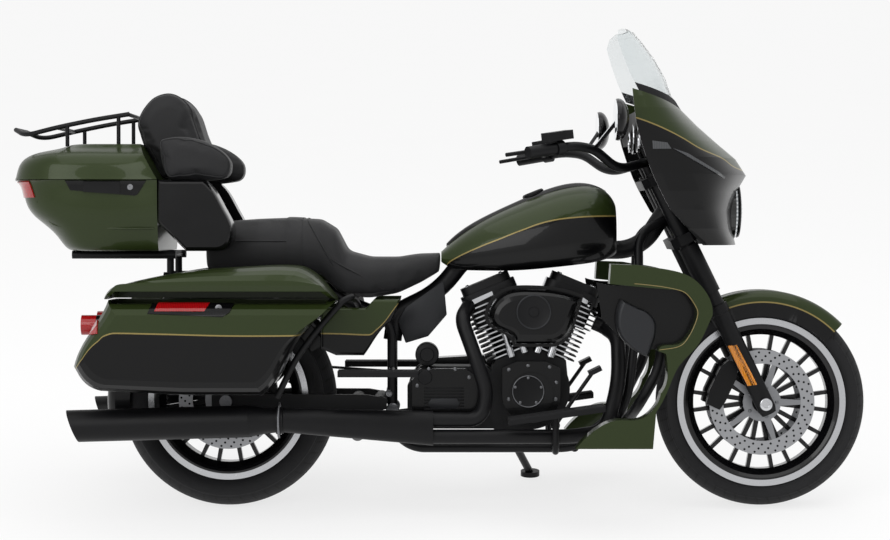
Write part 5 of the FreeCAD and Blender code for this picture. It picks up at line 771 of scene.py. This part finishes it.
def side_planes(corners):
    """Planes through the sides of an outline in side view, facing outward."""
    middle = Vector((sum(x for x, z in corners), 0, sum(z for x, z in corners))) / len(corners)
    planes = []
    for first, second in zip(corners, corners[1:] + corners[:1]):
        start = Vector((first[0], 0, first[1]))
        end = Vector((second[0], 0, second[1]))
        normal = (end - start).cross(LEFTWARD).normalized()
        if normal.dot(middle - start) > 0:
            normal.negate()
        planes.append((start, normal))
    return planes


def side_plate(name, corners, out, depth, round_edge=EDGE):
    """Flat plate in side view on the right: a plane trimmed along each side, given depth outward, edges rounded."""
    deselect()
    xs, zs = zip(*corners)
    centre = ((min(xs) + max(xs)) / 2, -out, (min(zs) + max(zs)) / 2)
    bpy.ops.mesh.primitive_plane_add(size=1, location=centre, rotation=(math.pi / 2, 0, 0))
    piece = bpy.context.object
    piece.name = name
    piece.scale = (max(xs) - min(xs), max(zs) - min(zs), 1)
    bpy.ops.object.transform_apply(location=True, rotation=True, scale=True)
    edit(piece)
    trim(side_planes(corners))
    select_all()
    bpy.ops.mesh.extrude_region_move(TRANSFORM_OT_translate={"value": (0, -depth, 0)})
    close_outward()
    modify(piece, "BEVEL", width=round_edge, segments=2, limit_method="ANGLE", angle_limit=CREASE)
    return piece


def aim(piece, name, centre, axis):
    """Name a piece made round the upright axis, turn it to another axis, and move it to its centre."""
    piece.name = name
    turn = UPWARD.rotation_difference(Vector(axis).normalized())
    piece.data.transform(Matrix.Translation(Vector(centre)) @ turn.to_matrix().to_4x4())
    return piece


def round_piece(name, centre, radius, depth, steps, axis=RIGHTWARD, sides=32):
    """Turned piece: a disc drawn out along an axis, with each step a further length and a share of the radius."""
    deselect()
    bpy.ops.mesh.primitive_circle_add(vertices=sides, radius=radius, fill_type="NGON")
    piece = bpy.context.object
    edit(piece)
    bpy.ops.mesh.extrude_region_move(TRANSFORM_OT_translate={"value": (0, 0, depth)})
    share = 1.0
    for length, wide in steps:
        bpy.ops.mesh.extrude_region_move(TRANSFORM_OT_translate={"value": (0, 0, length)})
        factor = wide / share
        bpy.ops.transform.resize(value=(factor, factor, 1), center_override=(0, 0, 0))
        share = wide
    close_outward()
    return aim(piece, name, centre, axis)


def cap(name, face, radius, depth, steps, material, body="machine", axis=RIGHTWARD, sides=32, sunk=SINK,
        both=False):
    """Turned piece sunk a little into a face, and its mirror."""
    piece = round_piece(name, face - axis * sunk, radius, depth, steps, axis, sides)
    return settle(both_sides(piece) if both else piece, material, body)


def ring(name, centre, radius, thickness, material, body="machine", axis=RIGHTWARD):
    """Round bead in a circle about an axis."""
    deselect()
    bpy.ops.mesh.primitive_torus_add(
        major_radius=radius, minor_radius=thickness, major_segments=48, minor_segments=8,
    )
    return settle(aim(bpy.context.object, name, centre, axis), material, body)


def around(centre, radius, count, start=0.0):
    """Places evenly round a centre in side view, from a start angle in degrees."""
    angles = [math.radians(start) + 2 * math.pi * i / count for i in range(count)]
    return [centre + Vector((radius * math.cos(angle), 0, radius * math.sin(angle))) for angle in angles]


def bolts(name, spots, radius, material, body="machine", axis=RIGHTWARD, both=False):
    """Button-head bolts with a round socket sunk in each, all alike, and their mirror on the other side."""
    steps = ((radius * 0.25, 0.8), (radius * 0.1, 0.5), (-radius * 0.3, 0.45))
    first = round_piece(name, spots[0], radius, radius * 0.35, steps, axis, 12)
    row = join([first] + [copied(first, Matrix.Translation(spot - spots[0])) for spot in spots[1:]], name)
    return settle(both_sides(row) if both else row, material, body)


def skin(name, source, planes, thickness, keep):
    """Thin piece that hugs another: its outer faces that are kept, trimmed by planes and thickened outward."""
    piece = form_of(name, source)
    bpy.ops.mesh.remove_doubles(threshold=WELD)
    keep_faces(piece, keep)
    trim(planes)
    select_all()
    bpy.ops.mesh.dissolve_limited(angle_limit=math.radians(0.5))
    leave_edit()
    modify(piece, "SOLIDIFY", thickness=thickness, offset=1.0)
    return piece


def hugging(name, source, corners, thickness, material, body="machine", facing=0.3, inner=0.0,
            both=True):
    """Thin piece on a node's right side with an outline in side view, and its mirror on the left."""
    piece = skin(name, source, side_planes(corners), thickness,
                 lambda centre, normal: normal.y < -facing and centre.y < -inner)
    return settle(both_sides(piece) if both else piece, material, body)


def touch(source, start, direction):
    """Place on the drawing where a line from a start first meets a node, or a piece that lies in the frame."""
    hit, place, _, _ = solid_of(source).ray_cast(TO_FRAME @ Vector(start), TO_FRAME.to_3x3() @ Vector(direction))
    if not hit:
        raise ValueError(f"nothing of {source} from {start}")
    return TO_DRAWING @ place


def right_face(source, x, z):
    """Place on the right side at a point in side view."""
    return touch(source, (x, -FAR_OUT, z), LEFTWARD)


def seam(name, points, radius, material):
    """Round line through points on the right side, as a cord sewn or a stripe laid on a surface, and its mirror."""
    curve = bpy.data.curves.new(name, "CURVE")
    curve.dimensions = "3D"
    curve.bevel_depth = radius
    curve.bevel_resolution = 2
    curve.use_fill_caps = True
    line = curve.splines.new("NURBS")
    line.points.add(len(points) - 1)
    for point, place in zip(line.points, points):
        point.co = (*place, 1)
    line.order_u = 3
    line.use_endpoint_u = True
    piece = bpy.data.objects.new(name, curve)
    bpy.context.scene.collection.objects.link(piece)
    take(piece)
    bpy.ops.object.convert(target="MESH")
    return settle(both_sides(bpy.context.object), material)


# Cushions: sewn vinyl over foam

FOAM_SHRINK = 0.003
CLOTH_FRAMES = 20


def blow_up(piece, cap_height):
    """Let the cover swell like cloth under pressure, with no point moving further than a cap."""
    start = [vertex.co.copy() for vertex in piece.data.vertices]
    take(piece)
    cloth = piece.modifiers.new("foam", "CLOTH")
    cloth.settings.use_pressure = True
    cloth.settings.uniform_pressure_force = 4.0
    cloth.settings.tension_stiffness = 25
    cloth.settings.effector_weights.gravity = 0
    cloth.point_cache.frame_start = 1
    cloth.point_cache.frame_end = CLOTH_FRAMES
    for step in range(CLOTH_FRAMES):
        bpy.context.scene.frame_set(step + 1)
    bpy.ops.object.modifier_apply(modifier="foam")
    bpy.context.scene.frame_set(1)
    for vertex, first in zip(piece.data.vertices, start):
        move = vertex.co - first
        if move.length > cap_height:
            vertex.co = first + move * (cap_height / move.length)


def cushion(name, node_name, body, voxel, cap_height):
    """The solid's form, a little smaller, rounded and blown up; it stands for the solid."""
    piece = form_of(name, node_name, Matrix.Identity(4))
    bpy.ops.mesh.remove_doubles(threshold=WELD)
    leave_edit()
    modify(piece, "REMESH", mode="VOXEL", voxel_size=voxel)
    modify(piece, "SMOOTH", factor=0.5, iterations=4)
    modify(piece, "DISPLACE", strength=-FOAM_SHRINK, mid_level=0.0)
    blow_up(piece, cap_height)
    modify(piece, "SMOOTH", factor=0.5, iterations=2)
    modify(piece, "SUBSURF", levels=1, render_levels=1)
    take(piece)
    bpy.ops.object.shade_smooth()
    piece.data.materials.clear()
    piece.data.materials.append(VINYL)
    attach(piece, body)
    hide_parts(node_name)
    return piece


def piping(name, source, place, normal, radius, body, *ends):
    """Sewn welt round a cushion where a plane cuts it, up to the planes where it ends."""
    piece = form_of(name, source)
    bpy.ops.mesh.bisect(plane_co=place, plane_no=normal, clear_inner=True, clear_outer=True)
    trim(ends)
    select_all()
    bpy.ops.mesh.remove_doubles(threshold=0.002)
    leave_edit()
    bpy.ops.object.convert(target="CURVE")
    curve = bpy.context.object
    curve.data.bevel_depth = radius
    curve.data.bevel_resolution = 2
    bpy.ops.object.convert(target="MESH")
    return settle(bpy.context.object, VINYL, body)


SEAT = cushion("seat_cushion", "seat", "machine", voxel=0.008, cap_height=0.006)
BACK_PAD = cushion("back_cushion", "backrest", "case_lid", voxel=0.006, cap_height=0.008)
ARM_PADS = cushion("arm_cushions", "armrests", "machine", voxel=0.006, cap_height=0.007)

# Seams and straps on the cushions

LONG_WELT, ARM_WELT, CROSS_WELT = 0.0028, 0.0024, 0.0022
BACK_WELT_OUT, ARM_WELT_OUT = 0.112, 0.286
STRAP_BACK, STRAP_FRONT, STRAP_FOOT = 0.183, 0.229, 0.725

piping("seat_welt", SEAT, (0, 0, 0.812), UPWARD, LONG_WELT, "machine", ((0.2, 0, 0), FORWARD))
piping("seat_front_welt", SEAT, (0.275, 0, 0.824), (0.86, 0, 0.5), CROSS_WELT, "machine", ((0, 0, 0.74), -UPWARD))
for name, side in (("back_welt", 1), ("back_welt_right", -1)):
    piping(name, BACK_PAD, LEFTWARD * BACK_WELT_OUT * side, LEFTWARD, LONG_WELT, "case_lid")
for name, side in (("arm_welt_right", -1), ("arm_welt_left", 1)):
    piping(name, ARM_PADS, LEFTWARD * ARM_WELT_OUT * side, LEFTWARD, ARM_WELT, "machine")
strap = skin("seat_strap", SEAT, [
    ((STRAP_BACK, 0, 0), -FORWARD), ((STRAP_FRONT, 0, 0), FORWARD), ((0, 0, STRAP_FOOT), -UPWARD),
], STRAP, lambda centre, normal: normal.z > -0.4)
settle(strap, VINYL)

# Case: latch plates and locks on its sides, red lamps round its rear corners

CASE_MIDDLE = Vector((-0.4, 0, 0.96))
CASE_SIDE, BAG_SIDE = 0.28, 0.3
BUTTON_LOCK = ((0.001, 0.85), (0, 0.3), (-0.001, 0.28))
CASE_LATCH = [(-0.46, 0.992), (-0.222, 0.992), (-0.248, 0.951), (-0.257, 0.947), (-0.445, 0.963)]
hugging("case_latch_plates", "tour_case", CASE_LATCH, PLATE, GLOSS, inner=CASE_SIDE)
CASE_CATCH = [(-0.407, 0.99), (-0.3, 0.99), (-0.3, 0.951), (-0.407, 0.958)]
hugging("case_catches", "tour_case", CASE_CATCH, CATCH, SATIN, inner=CASE_SIDE)
cap("case_locks", right_face("tour_case", -0.27, 0.972), 0.009, 0.006, BUTTON_LOCK, ZINC, sunk=DEEP_SINK,
    both=True)
TAIL_LAMP = [(-0.7, 0.99), (-0.572, 0.99), (-0.556, 0.942), (-0.7, 0.942)]
TAIL_LAMP_END, BACK_MIDDLE = 0.1, 0.08
lamp = skin("case_tail_lamps", "tour_case", side_planes(TAIL_LAMP) + [((0, -TAIL_LAMP_END, 0), LEFTWARD)],
            LAMP_DEPTH, lambda centre, normal: centre.y < -BACK_MIDDLE and normal.dot(centre - CASE_MIDDLE) > 0)
settle(both_sides(lamp), RED_LENS)

# Bags: latch plates with a red reflector and a lock, and lamps on their rear corners

BAG_LATCH = [(-0.201, 0.603), (-0.187, 0.635), (0.044, 0.638), (0.05, 0.633), (0.036, 0.606), (0.016, 0.594)]
hugging("bag_latch_plates", "saddlebags", BAG_LATCH, PLATE, GLOSS, inner=BAG_SIDE)
BAG_REFLECTOR = [(-0.172, 0.631), (-0.022, 0.632), (-0.036, 0.609), (-0.181, 0.609)]
hugging("bag_reflectors", "saddlebags", BAG_REFLECTOR, REFLECTOR, RED_LENS, inner=BAG_SIDE)
cap("bag_locks", right_face("saddlebags", 0.004, 0.62), 0.01, 0.006, BUTTON_LOCK, ZINC, both=True)
BAG_CORNER = [(-0.384, 0.602), (-0.352, 0.6), (-0.345, 0.545), (-0.376, 0.54)]
hugging("bag_corner_lamps", "saddlebags", BAG_CORNER, LAMP_DEPTH, RED_LENS, inner=BAG_SIDE)

# Fork and fairing: amber reflectors, lamp strips, trim under the screen, mirror glass

FORK_REFLECTOR = [(1.512, 0.496), (1.538, 0.499), (1.6, 0.379), (1.574, 0.376)]
hugging("fork_reflectors", "fork_sliders", FORK_REFLECTOR, PLATE, AMBER_LENS, "steering", facing=0.55)
LAMP_STRIPS = {
    "fairing_lamp_block": [(1.262, 1.106), (1.306, 1.1), (1.318, 1.082), (1.264, 1.082)],
    "fairing_lamp_line": [
        (1.31, 1.098), (1.326, 1.092), (1.485, 1.003), (1.481, 0.997), (1.322, 1.084), (1.31, 1.088),
    ],
}
for name, corners in LAMP_STRIPS.items():
    hugging(name, "fairing", corners, PLATE, SMOKED_LENS, "steering", facing=0.05, inner=0.02)
BROW_BACK, BROW_FRONT = Vector((1.19, 0, 1.271)), Vector((1.385, 0, 1.204))
SCREEN_MIDDLE = Vector((1.2, 0, 1.3))
TRIM_HEIGHT = 0.02
slope = (BROW_FRONT - BROW_BACK).normalized()
above = Vector((-slope.z, 0, slope.x))
band = skin("screen_trim", "windshield", [(BROW_BACK + above * TRIM_HEIGHT, above)], RUBBER_TRIM,
            lambda centre, normal: normal.dot(centre - SCREEN_MIDDLE) > 0)
settle(band, RUBBER, "steering")
glass = skin("mirror_glass", "mirrors", [], MIRROR_PANE, lambda centre, normal: normal.x < -0.9)
settle(glass, MIRROR, "steering")

# Front fender: the solid's form, cut square at a tip that is higher in front, as the photograph's is

FENDER_TIP = Vector((1.878, 0, 0.568))
PAST_TIP = Vector((0.677, 0, -0.736))
fender = form_of("short_front_fender", "front_fender")
bpy.ops.mesh.remove_doubles(threshold=WELD)
bpy.ops.mesh.bisect(plane_co=FENDER_TIP, plane_no=PAST_TIP, clear_outer=True, use_fill=True)
leave_edit()
settle(fender, FENDER_PAINT, "steering")
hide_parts("front_fender")

# Bright nuts on the front axle's ends

face = right_face("front_axle", FRONT_AXLE.x, FRONT_AXLE.z)
cap("front_axle_nuts", face, 0.018, 0.004, ((0.001, 0.9), (0, 0.55), (-0.003, 0.5)), BRIGHT, "steering", both=True)

# Lamp in the nose: a black bezel round it

LAMP_HEIGHT = 0.905
LAMP_AHEAD = 1.9
BEZEL_BACK = 0.012
front = touch("front_lamps", (LAMP_AHEAD, 0, LAMP_HEIGHT), -FORWARD)
ring("headlamp_bezel", (front.x - BEZEL_BACK, 0, LAMP_HEIGHT), 0.078, 0.006, GLOSS, "steering", FORWARD)

# Engine trim: blank cover discs, bolts round the covers, ribs and a plate on the gearbox

DISC_FACE = 0.004
face = right_face("air_cleaner", 0.925, 0.6)
cap("air_cleaner_disc", face, 0.052, 0.003, ((0.002, 0.93), (-0.0015, 0.88), (0, 0.3), (0.002, 0.28)), SATIN, sides=64)
ring("air_cleaner_ring", face + RIGHTWARD * DISC_FACE, 0.05, 0.0024, CHARCOAL)
face = right_face("engine_covers", 0.91, 0.359)
cap("timer_disc", face, 0.05, 0.003, ((0.003, 0.9), (-0.001, 0.84)), SATIN, sides=64)
ring("timer_ring", face + RIGHTWARD * DISC_FACE, 0.047, 0.0013, ZINC)
bolts("timer_bolts", around(face + RIGHTWARD * DISC_FACE, 0.041, 5, 18), 0.0045, ZINC)
COVER_BOLTS = [
    (0.852, 0.424), (0.91, 0.436), (0.975, 0.432), (0.995, 0.385), (0.993, 0.335), (0.965, 0.278), (0.9, 0.277),
    (0.852, 0.335), (0.575, 0.375), (0.61, 0.425), (0.69, 0.425), (0.732, 0.4), (0.725, 0.28), (0.61, 0.265),
]
spots = [right_face("engine_covers", x, z) - RIGHTWARD * SINK for x, z in COVER_BOLTS]
bolts("cam_cover_bolts", spots, 0.006, ZINC)

RIB = [(0.596, 0.302), (0.717, 0.302), (0.717, 0.306), (0.596, 0.306)]
RIB_COUNT, RIB_PITCH = 8, 0.009
GEARBOX_PLATE = [
    (0.609, 0.319), (0.618, 0.305), (0.695, 0.305), (0.704, 0.319), (0.704, 0.323), (0.695, 0.337), (0.618, 0.337),
    (0.609, 0.323),
]
out = -right_face("engine_covers", 0.66, 0.336).y - SINK
rib = side_plate("gearbox_rib", RIB, out, 0.005, 0.0012)
ribs = [rib] + [copied(rib, Matrix.Translation(UPWARD * RIB_PITCH * i)) for i in range(1, RIB_COUNT)]
settle(join(ribs, "gearbox_ribs"), SATIN)
settle(side_plate("gearbox_plate", GEARBOX_PLATE, out, 0.007), CHARCOAL)
cap("gearbox_cap", right_face("engine_covers", 0.599, 0.4), 0.022, 0.005, ((0.002, 0.9), (0.001, 0.5)), SATIN)

# Covers on the left, where the primary drive is, and bolts down through the heads

for name, x, z, radius in (("clutch_cover", 0.66, 0.345, 0.07), ("alternator_cover", 0.92, 0.35, 0.082)):
    face = touch("engine_covers", (x, FAR_OUT, z), RIGHTWARD)
    cap(name, face, radius, 0.004, ((0.003, 0.93), (-0.001, 0.84), (0.001, 0.4)), SATIN, axis=LEFTWARD, sides=64)
    bolts(name + "_bolts", around(face + LEFTWARD * DISC_FACE, radius * 0.88, 6), 0.005, ZINC, axis=LEFTWARD)
HEAD_BOLT_ALONG, HEAD_BOLT_OUT, OVER_HEAD = 0.055, 0.045, 0.6
for name, side in (("head_front", 1), ("head_rear", -1)):
    bore = bore_of(side)
    up = bore.to_3x3() @ UPWARD
    starts = [bore @ Vector((along, out, OVER_HEAD)) for along in (-HEAD_BOLT_ALONG, HEAD_BOLT_ALONG)
              for out in (-HEAD_BOLT_OUT, HEAD_BOLT_OUT)]
    bolts(name + "_bolts", [touch(name, start, -up) for start in starts], 0.0055, BRIGHT, axis=up)

# Exhaust: a band clamp on the silencer; footboards: rubber treads

ring("clamp_rear", (0.17, -0.3, 0.284), 0.05, 0.0035, ZINC, axis=FORWARD)
tread = skin("board_treads", "footboards", [], TREAD,
             lambda centre, normal: normal.z > 0.85 and abs(centre.y) > 0.2)
settle(tread, RUBBER)

# Welt down the seat's side, pinstripe on the lowers, bead along the case

SEAT_SEAM = [(0.268, 0.84), (0.275, 0.824), (0.299, 0.77), (0.344, 0.74), (0.404, 0.71), (0.449, 0.68), (0.473, 0.665)]
seam("seat_side_welt", [right_face(SEAT, x, z) for x, z in SEAT_SEAM], ARM_WELT, VINYL)
LOWER_LINE = [
    (1.212, 0.689), (1.279, 0.683), (1.338, 0.672), (1.36, 0.664), (1.376, 0.647), (1.391, 0.623), (1.398, 0.607),
    (1.394, 0.584), (1.38, 0.55), (1.363, 0.522), (1.349, 0.508), (1.324, 0.5), (1.285, 0.496),
]
LOWER_FACE = -0.3797
seam("lower_pinstripe", [Vector((x, LOWER_FACE, z)) for x, z in LOWER_LINE], 0.0013, GOLD_PAINT)
CASE_STEP = [(-0.55, 0.93), (-0.52, 0.87), (-0.49, 0.856), (-0.44, 0.851), (-0.32, 0.85), (-0.2, 0.85)]
seam("case_step_bead", [right_face("tour_case", x, z) for x, z in CASE_STEP], 0.0022, GREEN)

# Bright polished corners on the heads, and rubber grips on the bar

HEAD_CORNERS = {
    "head_rear": [(0.737, 0.63), (0.802, 0.659), (0.806, 0.648), (0.742, 0.616)],
    "head_front": [(1.066, 0.634), (1.076, 0.642), (1.106, 0.622), (1.098, 0.61)],
}
for name, corners in HEAD_CORNERS.items():
    hugging(name + "_trim", name, corners, PLATE, BRIGHT, both=False)
GRIP_FRONT, GRIP_INNER = 0.985, 0.25
grips = skin("bar_grips", "handlebar", [((GRIP_FRONT, 0, 0), FORWARD)], RUBBER_TRIM,
             lambda centre, normal: abs(centre.y) > GRIP_INNER)
settle(grips, RUBBER, "steering")

# Side plates on the backbone under the seat, and the starter on the gearbox

SEAT_PLATE = [(0.655, 0.69), (0.665, 0.586), (0.608, 0.52), (0.539, 0.499), (0.515, 0.565), (0.54, 0.61)]
plate = side_plate("backbone_plates", SEAT_PLATE, 0.012, 0.02, 0.003)
settle(both_sides(plate), CHARCOAL)
starter = round_piece("starter", (0.605, -0.02, 0.467), 0.036, 0.07, ((0.004, 0.92), (0.002, 0.6), (0.008, 0.55)))
settle(starter, SATIN)

# Caps over the swingarm's pivot and over a rail's end, and bolts through the front discs

for name, x, z, radius in (("pivot_caps", 0.5, 0.3, 0.02), ("rail_caps", 0.49, 0.35, 0.012)):
    cap(name, right_face("frame", x, z), radius, 0.006, ((0.003, 0.85), (-0.002, 0.5)), ZINC,
        sunk=DEEP_SINK, both=True)
BOLT_CIRCLE = 0.045
face = right_face("front_discs", FRONT_AXLE.x + BOLT_CIRCLE, FRONT_AXLE.z)
spots = around(Vector((FRONT_AXLE.x, face.y + SINK, FRONT_AXLE.z)), BOLT_CIRCLE, 5)
bolts("front_disc_bolts", spots, 0.006, ZINC, "front_wheel_body", both=True)

# Dials in the dash, and the tank's filler cap

BEHIND_DASH, OVER_TANK = 0.9, 1.4
DIALS = (
    ("speed_dial", -0.09, 1.13, 0.05), ("rev_dial", 0.09, 1.13, 0.05),
    ("fuel_dial", -0.2, 1.12, 0.032), ("volt_dial", 0.2, 1.12, 0.032),
)
for name, side, height, radius in DIALS:
    face = touch("dash_panel", (BEHIND_DASH, side, height), FORWARD)
    cap(name, face, radius, 0.008, ((0.003, 0.92), (-0.004, 0.86), (0, 0.1), (0.003, 0.05)), GLOSS, "steering",
        -FORWARD, 48, DEEP_SINK)
    ring(name + "_ring", face - FORWARD * 0.006, radius * 0.95, 0.0025, BRIGHT, "steering", FORWARD)
back, face, front = (touch("tank_console", (x, 0, OVER_TANK), -UPWARD) for x in (0.91, 0.93, 0.95))
along = front - back
cap("filler_cap", face, 0.034, 0.006, ((0.004, 0.9), (0.001, 0.6)), SATIN, "machine",
    Vector((-along.z, 0, along.x)).normalized(), 48, DEEP_SINK)
